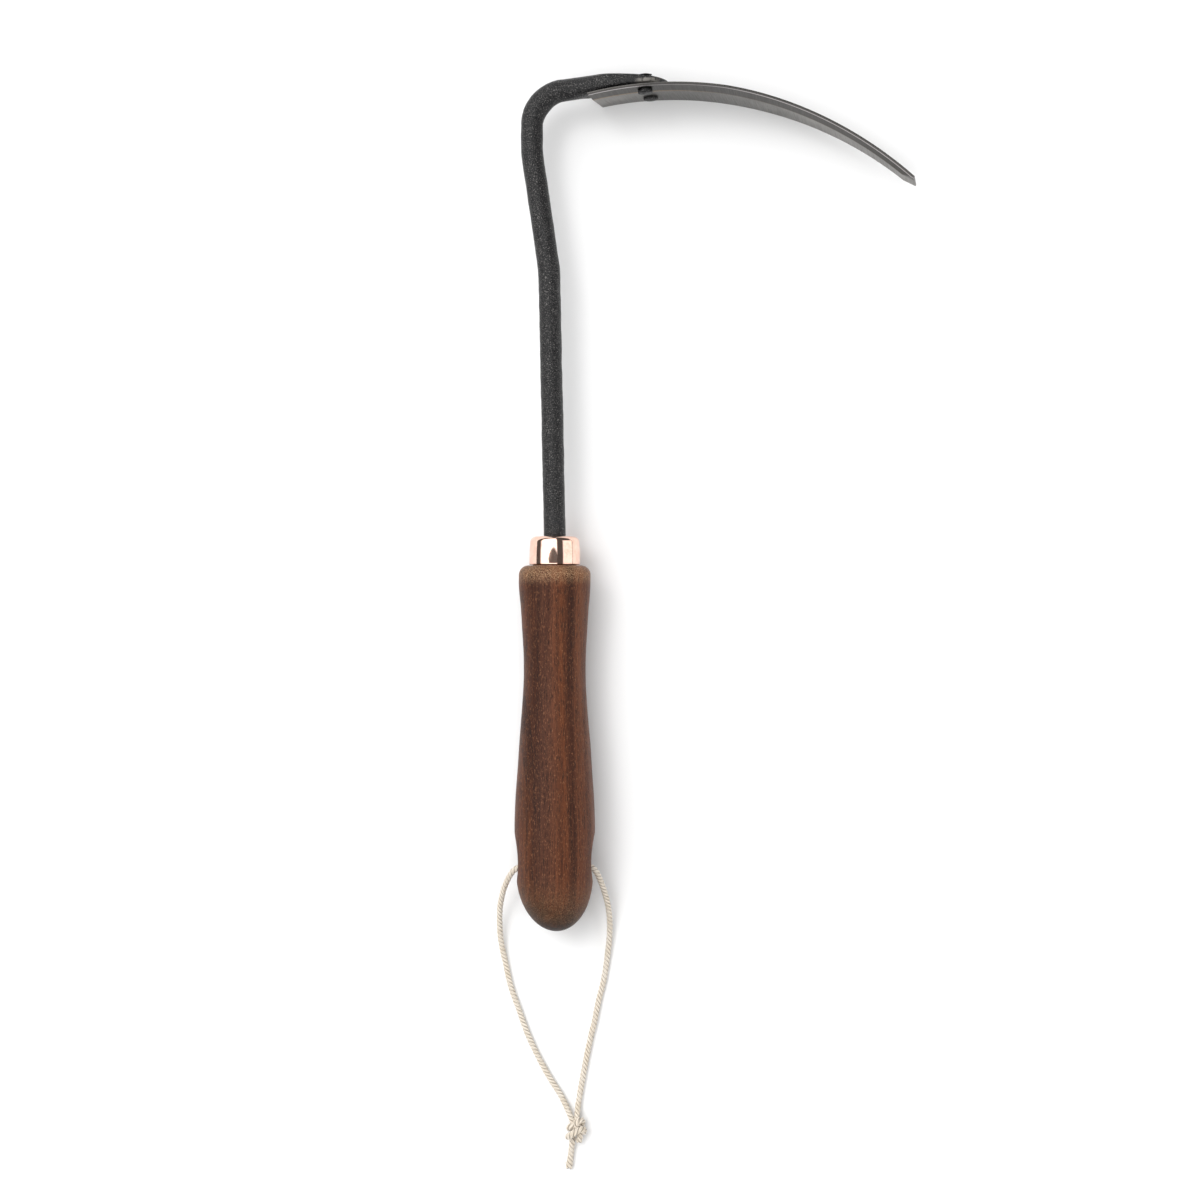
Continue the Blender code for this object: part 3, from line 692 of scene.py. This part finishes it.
def walnut():
    n = Nodes("walnut")
    place = n.design_place()
    x, y, z = n.split(place)
    # growth layers: bands along Y that wander a little, with fine dark lines in them
    sway = n.noise(n.scaled(place, (0.02, 0.009, 0.02)), 1.0, 2.0)
    layer = n.math("MULTIPLY_ADD", z, -0.30, n.math("MULTIPLY_ADD", sway, 7.0, x))
    grain = n.add("CombineXYZ", {0: layer, 1: n.times(y, 0.012), 2: n.times(z, 0.15)}).outputs[0]
    broad = n.noise(n.scaled(grain, (1.0, 1.0, 1.0), (3.7, 0.0, 0.0)), 0.20, 3.0, 0.5)
    lines = n.noise(n.scaled(grain, (1.0, 1.6, 1.0)), 1.5, 4.0, 0.62)
    streaks = n.noise(n.scaled(grain, (1.0, 2.5, 1.0), (5.0, 0.0, 0.0)), 2.4, 3.0, 0.6)
    shades = ((0.30, srgb("3d1d10")), (0.44, srgb("4e2a19")), (0.56, srgb("5d331e")), (0.72, srgb("6b3e26")))
    colour = n.ramp(broad, *shades)
    # heartwood streaks: one broad dark band left of the middle and a weaker one at the right
    for middle, half, depth in ((-10.0, 7.5, 0.90), (7.6, 2.4, 0.60)):
        offset = n.math("ABSOLUTE", n.minus(n.math("MULTIPLY_ADD", sway, 5.0, x), middle + 2.5))
        band = n.times(n.span(offset, half, 0.3 * half), n.span(lines, 0.30, 0.62, 0.25, 1.0))
        patchy = n.noise(n.scaled(place, (0.1, 0.022, 0.1), (middle, 0.0, 0.0)), 1.0, 2.0)
        fade = n.span(patchy, 0.36, 0.56, 0.5, 1.0)
        colour = n.mix(n.times(band, fade, depth), colour, srgb("241009"))
    colour = n.mix(n.span(lines, 0.47, 0.68, 0.0, 0.50), colour, srgb("2c150b"))
    colour = n.mix(n.span(streaks, 0.50, 0.70, 0.0, 0.40), colour, srgb("301a0f"))
    # pores: short dark dashes, and the light flecks between them
    pores = n.noise(n.scaled(place, (2.6, 0.22, 2.6)), 1.0, 3.0, 0.65)
    colour = n.mix(n.span(pores, 0.54, 0.64, 0.0, 0.80), colour, srgb("1c0c06"))
    flecks = n.noise(n.scaled(place, (2.2, 0.7, 2.2), (9.0, 0.0, 4.0)), 1.0, 4.0, 0.75)
    colour = n.mix(n.span(flecks, 0.53, 0.70, 0.0, 0.60), colour, srgb("9a6848"))
    # darker towards the butt's end, and both ends are speckled where they were sanded
    butt = n.span(y, 2.0, 19.0, 0.95, 0.0)
    blotch = n.noise(place, 0.35, 3.0)
    colour = n.mix(n.times(butt, n.span(blotch, 0.3, 0.55, 0.55, 1.0)), colour, srgb("180b06"))
    ends = n.plus(n.span(y, 9.0, 26.0, 0.4, 0.0), n.span(y, 144.5, 150.0, 0.0, 1.3))
    sanded = n.noise(place, 3.0, 4.0, 0.75)
    ends = n.times(ends, n.span(y, 1.0, 6.0), n.span(sanded, 0.46, 0.62, 0.0, 0.60))
    colour = n.mix(ends, colour, srgb("c39a74"))
    height = n.plus(n.times(n.span(pores, 0.55, 0.67), -1.0), n.times(flecks, 0.35))
    height = n.plus(height, n.times(streaks, 0.5))
    rough = n.span(broad, 0.3, 0.7, 0.56, 0.46)
    n.shader.inputs["Specular IOR Level"].default_value = 0.16
    n.shader.inputs["Sheen Weight"].default_value = 0.02
    n.shader.inputs["Sheen Roughness"].default_value = 0.4
    return n.finish(Base_Color=colour, Roughness=rough, Normal=n.bump(height, 0.45, 0.00010))


make_handle()

# ---------------------------------------------------------------- ferrule

FERRULE_FROM, FERRULE_TO = HANDLE_LENGTH + CLEARANCE, HANDLE_LENGTH + CLEARANCE + 11.9
FERRULE_RADIUS, FERRULE_TOP_RADIUS, FERRULE_ROUND, FERRULE_WALL = 10.75, 10.40, 2.5, 1.0
FERRULE_SWELL = 0.12  # of its side, between foot and top


def make_ferrule():
    centre = (FERRULE_TOP_RADIUS - FERRULE_ROUND, FERRULE_TO - FERRULE_ROUND)
    hole = BAR_RADIUS + CLEARANCE
    rows = np.linspace(0, 1, 24)[:, None]
    foot, top = (FERRULE_RADIUS, FERRULE_FROM + 0.25), (FERRULE_TOP_RADIUS, centre[1])
    side = blend(np.array(foot), np.array(top), rows)
    side[:, :1] += FERRULE_SWELL * np.sin(math.pi * rows)
    profile = [
        (FERRULE_RADIUS - 0.25, FERRULE_FROM),
        (FERRULE_RADIUS - 0.07, FERRULE_FROM + 0.07),
        *side.tolist(),
        *quarter_round(centre, FERRULE_ROUND, 24)[1:],
        (hole + 0.9, FERRULE_TO),
        (hole + 0.25, FERRULE_TO - 0.03),
        (hole + 0.06, FERRULE_TO - 0.12),
        (hole, FERRULE_TO - 0.3),
        (hole, FERRULE_TO - FERRULE_WALL),
        (FERRULE_TOP_RADIUS - FERRULE_WALL, FERRULE_TO - FERRULE_WALL),
        (FERRULE_RADIUS - FERRULE_WALL, FERRULE_FROM),
    ]
    rings = lathe(profile, 192)
    # hammered on, so not quite round
    rings += from_axis(rings) * wobble(rings, 0.16, 0.05, 9.0)[..., None]
    rings = np.concatenate([rings, rings[:1]])
    ferrule = mesh_from_grid("copper_ferrule", placed(rings), cap=False)
    face_out(ferrule, 1e-7)  # and the last ring becomes one with the first
    smooth(ferrule, 50)
    wear(ferrule, copper())
    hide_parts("ferrule")


def copper():
    n = Nodes("copper")
    place = n.design_place()
    tarnish = n.noise(place, 0.35, 4.0, 0.6, 0.5)
    shades = ((0.35, (0.86, 0.53, 0.42)), (0.55, (0.93, 0.64, 0.52)), (0.75, (0.96, 0.70, 0.59)))
    colour = n.ramp(tarnish, *shades)
    y = n.split(place)[1]
    turning = n.noise(n.add("CombineXYZ", {0: 0.0, 1: y, 2: 0.0}).outputs[0], 9.0, 3.0)
    scratches = n.noise(n.scaled(place, (0.6, 9.0, 0.6)), 1.0, 3.0, 0.7)
    stain = n.span(y, FERRULE_FROM, FERRULE_FROM + 1.0, 0.6, 0.0)
    colour = n.mix(n.times(stain, n.span(tarnish, 0.35, 0.6)), colour, (0.30, 0.13, 0.08))
    height = n.plus(n.times(turning, 0.4), n.times(scratches, 0.5))
    rough = n.span(scratches, 0.4, 0.75, 0.04, 0.10)
    return n.finish(Base_Color=colour, Metallic=1.0, Roughness=rough, Normal=n.bump(height, 0.06, 0.00002))


make_ferrule()

# ---------------------------------------------------------------- shank

CRANK_POINT = np.array((-2.3, HANDLE_LENGTH + 124.0))
NECK_POINT = CRANK_POINT + (-7.3, 49.5)
BEND_POINT = NECK_POINT + (0.0, 24.2)
CRANK_ROUND, BEND_ROUND = 60.0, 14.8
BOW_RADIUS, BLADE_THICKNESS, BLADE_WIDTH = 150.0, 2.0, 29.0
BOW_CENTRE = BEND_POINT + (60.3, 1.1 - BOW_RADIUS)
BACK_RADIUS = BOW_RADIUS + BLADE_THICKNESS + CLEARANCE
PALM_ANGLES = (-13.3, -10.0, -5.6, -1.2)  # round the bow, in degrees
PALM_FROM, PALM_FULL_FROM, PALM_ROUND_FROM, PALM_TO = (math.radians(a) for a in PALM_ANGLES)
PALM_SWELL_BEFORE, PALM_HEIGHT, PALM_MIDDLE_Z = 0.42, 23.0, 15.2
PALM_ROOT_THICKNESS, PALM_TIP_THICKNESS, PALM_SQUARENESS = 8.3, 2.4, 5.0
# height, squareness and middle height, from the round bar to the palm
PALM_SHAPE = ((2 * BAR_RADIUS, PALM_HEIGHT), (2.0, PALM_SQUARENESS), (AXIS, PALM_MIDDLE_Z))


def corner_arc(before, corner, after, radius, step):
    """Points of the arc that rounds a corner of a plan outline."""
    back, on = unit(before - corner), unit(after - corner)
    half = math.acos(float(back @ on)) / 2
    centre = corner + unit(back + on) * (radius / math.sin(half))
    start, end = (corner + way * (radius / math.tan(half)) for way in (back, on))
    first = math.atan2(*(start - centre)[::-1])
    sweep = (math.atan2(*(end - centre)[::-1]) - first + math.pi) % (2 * math.pi) - math.pi
    angles = first + sweep * np.linspace(0, 1, max(4, round(abs(sweep) * radius / step)))
    return centre + radius * np.stack([np.cos(angles), np.sin(angles)], axis=1)


def bow_point(angle, outward=0.0):
    radius = BOW_RADIUS + outward
    return BOW_CENTRE + radius * np.array((math.sin(angle), math.cos(angle)))


def palm_thickness(angle):
    share = min(max((angle - PALM_FROM) / (PALM_TO - PALM_FROM), 0.0), 1.0)
    return blend(PALM_ROOT_THICKNESS, PALM_TIP_THICKNESS, share)


def tang_radius(y):
    share = min(max((HANDLE_LENGTH - y) / (HANDLE_LENGTH - TANG_FROM), 0.0), 1.0)
    return blend(BAR_RADIUS, TANG_TIP_RADIUS, share)


def shank_sections(step=0.5):
    """(plan point, thickness, height, squareness, middle height) along the bar, by the CAD source's rules."""
    palm_start = bow_point(PALM_FROM, BACK_RADIUS - BOW_RADIUS + PALM_ROOT_THICKNESS / 2)
    shoulder = np.array((0.0, HANDLE_LENGTH))
    corners = [
        corner_arc(shoulder, CRANK_POINT, NECK_POINT, CRANK_ROUND, step),
        corner_arc(CRANK_POINT, NECK_POINT, BEND_POINT, CRANK_ROUND, step),
        corner_arc(NECK_POINT, BEND_POINT, palm_start, BEND_ROUND, step),
    ]
    line = [np.array([(0.0, y) for y in np.arange(TANG_FROM, FERRULE_TO, 2.0)])]
    for corner in corners:
        gap = corner[0] - line[-1][-1]
        count = max(2, round(float(np.linalg.norm(gap)) / step))
        shares = np.arange(1, count) / count
        line += [line[-1][-1] + gap * shares[:, None], corner]
    plan = np.vstack(line)
    last = plan[-1]
    sections = []
    for point in plan[:-1]:
        size = 2 * tang_radius(point[1])
        sections.append((point, size, size, 2.0, AXIS))
    for share in np.linspace(0, 1, 24)[:-1]:
        swell = float(smoothstep(PALM_SWELL_BEFORE * share))
        thickness = blend(2 * BAR_RADIUS, PALM_ROOT_THICKNESS, share)
        shape = [blend(start, end, swell) for start, end in PALM_SHAPE]
        sections.append((blend(last, palm_start, share), thickness, *shape))
    round_part = PALM_TO - PALM_ROUND_FROM
    stations = np.linspace(PALM_FROM, PALM_ROUND_FROM, 44)[:-1].tolist()
    stations += [PALM_ROUND_FROM + round_part * sine for sine in np.sin(np.radians(np.linspace(0, 89.0, 40)))]
    for angle in stations:
        grown = (angle - PALM_FROM) / (PALM_FULL_FROM - PALM_FROM)
        swell = float(smoothstep(blend(PALM_SWELL_BEFORE, 1, grown)))
        beyond = max(0.0, (angle - PALM_ROUND_FROM) / round_part)
        thickness = palm_thickness(angle)
        height, squareness, middle = (blend(start, end, swell) for start, end in PALM_SHAPE)
        point = bow_point(angle, BACK_RADIUS - BOW_RADIUS + thickness / 2)
        sections.append((point, thickness, height * math.sqrt(1 - beyond**2), squareness, middle))
    return sections


RIVETS = {  # angle round the bow, height
    "rivet_upper": (math.radians(-4.9), 22.8),
    "rivet_lower": (math.radians(-3.9), 8.3),
}
RIVET_RADIUS, RIVET_HEAD_RADIUS, RIVET_HEAD_HEIGHT = 2.2, 3.1, 1.6
RIVET_SINK_RADIUS, RIVET_SINK_DEPTH = 3.4, 1.0
FORGE_MARK = np.array((21.5, 355.6, 21.0))  # a rough spot on top of the bar where the palm begins


def rivet_turned(angle, height, profile, sides):
    """A profile of (radius, distance out through the blade) turned round a rivet's axis."""
    outward = np.array((math.sin(angle), math.cos(angle), 0.0))
    beside = np.array((math.cos(angle), -math.sin(angle), 0.0))
    centre = np.array((*bow_point(angle), height))
    turn = 2 * np.pi * (np.arange(sides) + 0.5) / sides
    spokes = np.cos(turn)[:, None] * beside + np.sin(turn)[:, None] * np.array((0.0, 0.0, 1.0))
    return np.array([centre + outward * along + spokes * radius for radius, along in profile])


def rivet_drill(name, angle, height):
    back = BACK_RADIUS - BOW_RADIUS + palm_thickness(angle)
    hole, sink = RIVET_RADIUS + CLEARANCE / 2, RIVET_SINK_RADIUS + CLEARANCE / 2
    hole_to, sink_from = back - RIVET_SINK_DEPTH - CLEARANCE, back - CLEARANCE / 2
    profile = [(hole, -3.0), (hole, hole_to), (sink, sink_from), (sink, back + 2)]
    drill = mesh_from_grid(name, placed(rivet_turned(angle, height, profile, 40)))
    face_out(drill)
    return drill


def make_shank(material):
    points, *measures = (np.array(values) for values in zip(*shank_sections()))
    thickness, height, squareness, middle = (values[:, None] for values in measures)
    ahead = unit(np.gradient(points, axis=0))
    across = np.stack([-ahead[:, 1], ahead[:, 0], np.zeros(len(points))], axis=1)
    sides = 64
    angles = 2 * np.pi * np.arange(sides) / sides
    c, s = np.cos(angles)[None, :], np.sin(angles)[None, :]
    side = np.sign(c) * np.abs(c) ** (2 / squareness) * thickness / 2
    up = np.sign(s) * np.abs(s) ** (2 / squareness) * height / 2
    centres = np.concatenate([points, middle], axis=1)[:, None, :]
    rings = centres + across[:, None, :] * side[..., None]
    rings[..., 2] += up
    # forged: soft dents all over the bar, fuller inside the bend
    out = unit(rings - centres)
    bare = smoothstep((rings[..., 1] - FERRULE_TO - 1) / 4)
    near_blade = smoothstep((rings[..., 0] - 12) / 8)
    dents = wobble(rings, 0.16, 0.16, 1.0) + wobble(rings, 0.5, 0.07, 5.0)
    rings += out * (dents * bare * (1 - near_blade))[..., None]
    outer = smoothstep(0.5 + 0.5 * np.cos(angles))[None, :] * near_blade
    rings += out * ((dents * 0.8) * outer)[..., None]
    inner = corner_arc(NECK_POINT, BEND_POINT, bow_point(PALM_FROM, 6.0), BEND_ROUND, 1.0).mean(axis=0)
    fuller = 0.75 * np.exp(-(((points - inner) / 7.0) ** 2).sum(axis=1))[:, None] * np.clip(-c, 0, 1) ** 2
    rings += out * fuller[..., None]
    far = np.linalg.norm((rings - FORGE_MARK) / (2.6, 3.2, 4.0), axis=-1)
    rough = np.clip(1.25 - far, 0, 1) * (wobble(rings, 1.3, 0.75, 2.0) + wobble(rings, 2.9, 0.35, 4.0))
    rings += out * rough[..., None]
    shank = mesh_from_grid("forged_shank", placed(rings))
    face_out(shank)
    for name, (angle, height) in RIVETS.items():
        drilled(shank, rivet_drill(name + "_in_shank", angle, height))
    smooth(shank, 45)
    wear(shank, material)
    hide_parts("shank")


def forged(name, worn_and_highlit):
    n = Nodes(name)
    place = n.design_place()
    scale = n.noise(place, 0.55, 6.0, 0.62, 0.3)
    grit_and_glints = n.noise(place, 2.1, 4.0, 0.72)
    fine = n.noise(place, 9.0, 2.0, 0.6)
    colour = n.ramp(scale, (0.30, srgb("0c0c0d")), (0.50, srgb("141415")), (0.70, srgb("202021")))
    # bright specks: partly bare metal, partly painted glints that stand in for the speckled highlight
    colour = n.mix(n.span(grit_and_glints, 0.53, 0.66, 0.0, 0.62), colour, srgb("94918f"))
    rough = n.plus(n.span(scale, 0.3, 0.7, 0.26, 0.42), n.span(grit_and_glints, 0.3, 0.7, -0.05, 0.12))
    metal = n.span(grit_and_glints, 0.51, 0.64, 0.0, 0.9)
    n.shader.inputs["Specular IOR Level"].default_value = 0.24
    if worn_and_highlit:
        x, y, z = n.split(place)
        # bare metal where the palm's end was ground, painted lighter along its rim as a painted highlight on
        # the rounded edge, and at the forge mark
        flat = n.add("CombineXYZ", {0: x, 1: y, 2: 0.0}).outputs[0]
        middle = (float(BOW_CENTRE[0]), float(BOW_CENTRE[1]), 0.0)
        radial = n.add("VectorMath", {0: flat, 1: middle}, operation="DISTANCE").outputs["Value"]
        rim = n.window(radial, (BACK_RADIUS + 0.3, BACK_RADIUS + 0.8), (BACK_RADIUS + 2.0, BACK_RADIUS + 2.8))
        patches = n.span(n.noise(place, 0.8, 3.0), 0.35, 0.5)
        ground = n.times(n.window(x, (32.5, 37.0), (41.0, 45.0)), n.span(z, 21.5, 23.5), rim, patches)
        mark = n.add("VectorMath", {0: place, 1: tuple(FORGE_MARK)}, operation="DISTANCE").outputs["Value"]
        mark = n.times(n.span(mark, 2.0, 4.6, 1.0, 0.0), n.span(grit_and_glints, 0.47, 0.56))
        bare = n.math("MAXIMUM", n.times(ground, 0.85), n.times(mark, 0.9))
        colour = n.mix(bare, colour, srgb("8f8b86"))
        rough = n.between(bare, rough, 0.32)
        metal = n.math("MAXIMUM", metal, bare)
    height = n.plus(n.times(scale, 1.6), n.times(grit_and_glints, 0.8))
    height = n.plus(height, n.times(fine, 0.25))
    return n.finish(Base_Color=colour, Metallic=metal, Roughness=rough, Normal=n.bump(height, 1.0, 0.00022))


# ---------------------------------------------------------------- blade

BLADE_ANGLES = (-11.7, -14.1, 42.3, 41.2, 9.0)  # round the bow, in degrees
HEEL_SPINE, HEEL_EDGE, TIP_SPINE, TIP_EDGE, TAPER_FROM = (math.radians(a) for a in BLADE_ANGLES)
TAPER_SPINE, TAPER_EDGE = 8.0, 9.5
CORNER_ROUND, EDGE_LAND = 0.16, 0.15  # of the long corners, and of the ground edge
BEVEL_SHARE, BEVEL_DEPTH, HONE_HEIGHT, HONE_DEPTH = 0.25, 1.0, 1.6, 0.6
END_BEVEL_LENGTH, END_BEVEL_DEPTH = 5.5, 1.3
FACE_V, BEVEL_V, HONE_V, EDGE_V, BACK_V = 0.40, 0.55, 0.60, 0.62, 0.98  # where each zone of the section ends


def blade_section(spine, edge, ground, soft):
    """(outward, height, v) round the blade, up its face and down its back.

    ground is how much of the face the end bevel has taken away here, and soft rounds the long corners.
    """
    back, land = BLADE_THICKNESS, edge - EDGE_LAND
    bevel_from, hone_from = edge - HONE_HEIGHT - BEVEL_SHARE * (edge - spine), edge - HONE_HEIGHT
    section = [(ground + soft * 0.3, spine + soft * 0.3, 0.0), (ground, spine + soft, 0.01)]
    for t in np.linspace(0.08, 1.0, 12):
        section.append((ground, blend(spine + soft, bevel_from, t), blend(0.01, FACE_V, t)))
    for t in np.linspace(0.06, 1.0, 7):
        z, v = blend(bevel_from, hone_from, t), blend(FACE_V, BEVEL_V, t)
        section.append((max(ground, BEVEL_DEPTH * t), z, v))
    low = max(ground, BEVEL_DEPTH)
    for t in np.linspace(0.1, 1.0, 4):
        deep = max(ground, blend(low, BEVEL_DEPTH + HONE_DEPTH, t))
        section.append((min(deep, back - 0.12), blend(hone_from, edge, t), blend(BEVEL_V, HONE_V, t)))
    section += [(back - 0.06, edge - 0.02, EDGE_V - 0.005), (back, land, EDGE_V)]
    for t in np.linspace(0.05, 1.0, 12):
        section.append((back, blend(land, spine + soft, t), blend(EDGE_V, BACK_V, t)))
    section += [(back - soft * 0.3, spine + soft * 0.3, 0.985), (back - soft, spine, 0.99)]
    section.append((min(ground + soft, back - soft), spine, 0.995))
    return section


def make_blade():
    end_bevel_from = 1 - END_BEVEL_LENGTH / (BOW_RADIUS * (TIP_SPINE - HEEL_SPINE))
    body, end_bevel = np.linspace(0.004, end_bevel_from, 320), np.linspace(end_bevel_from, 1.0, 22)[1:-1]
    rings, uv = [], []
    for share in (0.0, 0.0008, 0.002, *body, *end_bevel, 0.9996, 1.0):
        angle = blend(HEEL_SPINE, TIP_SPINE, share)
        along = min(max((angle - TAPER_FROM) / (TIP_SPINE - TAPER_FROM), 0.0), 1.0)
        spine = TAPER_SPINE * along**1.6
        edge = BLADE_WIDTH - TAPER_EDGE * math.sin(math.pi / 2 * along) ** 1.2
        ground = END_BEVEL_DEPTH * max(0.0, (share - end_bevel_from) / (1 - end_bevel_from))
        section = blade_section(spine, edge, ground, CORNER_ROUND * (1 if 0.001 < share < 0.9995 else 0.35))
        ring = []
        for outward, z, _ in section:
            up = (z - spine) / (edge - spine)
            heel, tip = blend(HEEL_SPINE, HEEL_EDGE, up), blend(TIP_SPINE, TIP_EDGE, up)
            ring.append((*bow_point(blend(heel, tip, share), outward), z))
        rings.append(ring)
        uv.append([(BOW_RADIUS * angle, v) for _, _, v in section])
    blade = mesh_from_grid("steel_blade", placed(rings), uv)
    face_out(blade)
    for name, (angle, height) in RIVETS.items():
        drilled(blade, rivet_drill(name + "_in_blade", angle, height))
    smooth(blade, 22)
    wear(blade, ground_steel())
    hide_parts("blade")


def ground_steel():
    n = Nodes("ground_steel")
    place = n.design_place()
    u, v, _ = n.split(n.add("UVMap", uv_map="lay").outputs[0])
    z = n.split(place)[2]
    # grinding marks run up the width
    lay = n.add("CombineXYZ", {0: u, 1: n.times(z, 0.06), 2: v}).outputs[0]
    marks = n.noise(n.scaled(lay, (3.4, 1.0, 0.3)), 1.0, 4.0, 0.65)
    coarse = n.noise(n.scaled(lay, (0.25, 0.5, 0.3)), 1.0, 3.0)
    cloud = n.noise(place, 0.07, 4.0, 0.55)
    base = n.ramp(cloud, (0.30, srgb("6d6b68")), (0.50, srgb("7c7a77")), (0.72, srgb("8c8986")))
    base = n.mix(n.span(marks, 0.52, 0.72, 0.0, 0.35), base, srgb("4b4947"))
    face = n.span(v, FACE_V - 0.002, FACE_V + 0.004, 1.0, 0.0, "LINEAR")
    beyond_bevel = n.span(v, BEVEL_V - 0.004, BEVEL_V + 0.002, kind="LINEAR")
    hone = n.times(beyond_bevel, n.span(v, EDGE_V - 0.008, EDGE_V - 0.003, 1.0, 0.0, "LINEAR"))
    bevel = n.minus(n.minus(1.0, face), beyond_bevel)
    # painted reflections: the bevel and the hone are painted darker than the face, as painted shade for the
    # dark they reflect, and a thin painted highlight line runs where the hone begins
    colour = n.mix(n.times(bevel, 0.85), base, srgb("403e3c"))
    line = n.times(hone, n.span(v, BEVEL_V + 0.008, BEVEL_V + 0.016, 1.0, 0.0, "LINEAR"))
    colour = n.mix(n.times(hone, 0.85), colour, srgb("4a4745"))
    colour = n.mix(line, colour, srgb("b5b0b0"))
    # painted shade: dark at the back's rim, and less so on the rest of the back
    rim = n.span(v, EDGE_V - 0.006, EDGE_V - 0.002, 0.0, 0.75, "LINEAR")
    outer = n.times(rim, n.span(v, EDGE_V + 0.01, EDGE_V + 0.04, 1.0, 0.35, "LINEAR"))
    colour = n.mix(outer, colour, srgb("353331"))
    # painted shade: the face darker beside the rivets
    rivet_shade = n.window(u, (-15.0, -5.0), (4.0, 46.0))
    colour = n.mix(n.times(rivet_shade, 0.55), colour, srgb("3c3b3a"))
    # a brown bloom along the bevel's start near the heel
    bloom = n.window(v, (FACE_V - 0.03, FACE_V), (FACE_V, FACE_V + 0.02))
    bloom = n.times(bloom, n.span(u, -5.0, 30.0, 0.8, 0.15))
    colour = n.mix(bloom, colour, srgb("8f7a63"))
    rough = n.plus(n.span(marks, 0.3, 0.7, 0.30, 0.42), n.times(coarse, 0.06))
    rough = n.minus(rough, n.times(hone, 0.1))
    height = n.plus(marks, n.times(coarse, 0.6))
    return n.finish(Base_Color=colour, Metallic=1.0, Roughness=rough, Normal=n.bump(height, 0.22, 0.00005))


# ---------------------------------------------------------------- rivets


def make_rivets(material):
    """Domed heads on the blade's face, and countersunk far ends in the palm."""
    for name, (angle, height) in RIVETS.items():
        back = BACK_RADIUS - BOW_RADIUS + palm_thickness(angle)
        foot = -CLEARANCE * 0.2
        turns = np.radians(np.linspace(2, 90, 14))
        rises = RIVET_HEAD_HEIGHT * (0.45 + 0.55 * np.cos(turns))
        profile = [
            *zip(RIVET_HEAD_RADIUS * np.sin(turns), foot - rises),
            (RIVET_HEAD_RADIUS + 0.04, foot - 0.3),
            (RIVET_HEAD_RADIUS - 0.05, foot),
            (RIVET_RADIUS, foot),
            (RIVET_RADIUS, back - RIVET_SINK_DEPTH),
            (RIVET_SINK_RADIUS, back - 0.08),
            (RIVET_SINK_RADIUS - 0.15, back),
            (1.2, back + 0.12),
            (0.05, back + 0.15),
        ]
        rings = rivet_turned(angle, height, profile, 64)
        # struck by hand, which leaves dents in all but the middle of each end
        centre = np.array((*bow_point(angle), height))
        struck = smoothstep(np.array([radius for radius, _ in profile]) - 2.0)[:, None]
        rings += unit(rings - centre) * (struck * wobble(rings, 0.7, 0.14, 6.0))[..., None]
        rivet = mesh_from_grid("steel_" + name, placed(rings))
        face_out(rivet)
        smooth(rivet, 40)
        wear(rivet, material)
        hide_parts(name)


make_shank(forged("forged_steel", True))
make_blade()
make_rivets(forged("rivet_steel", False))
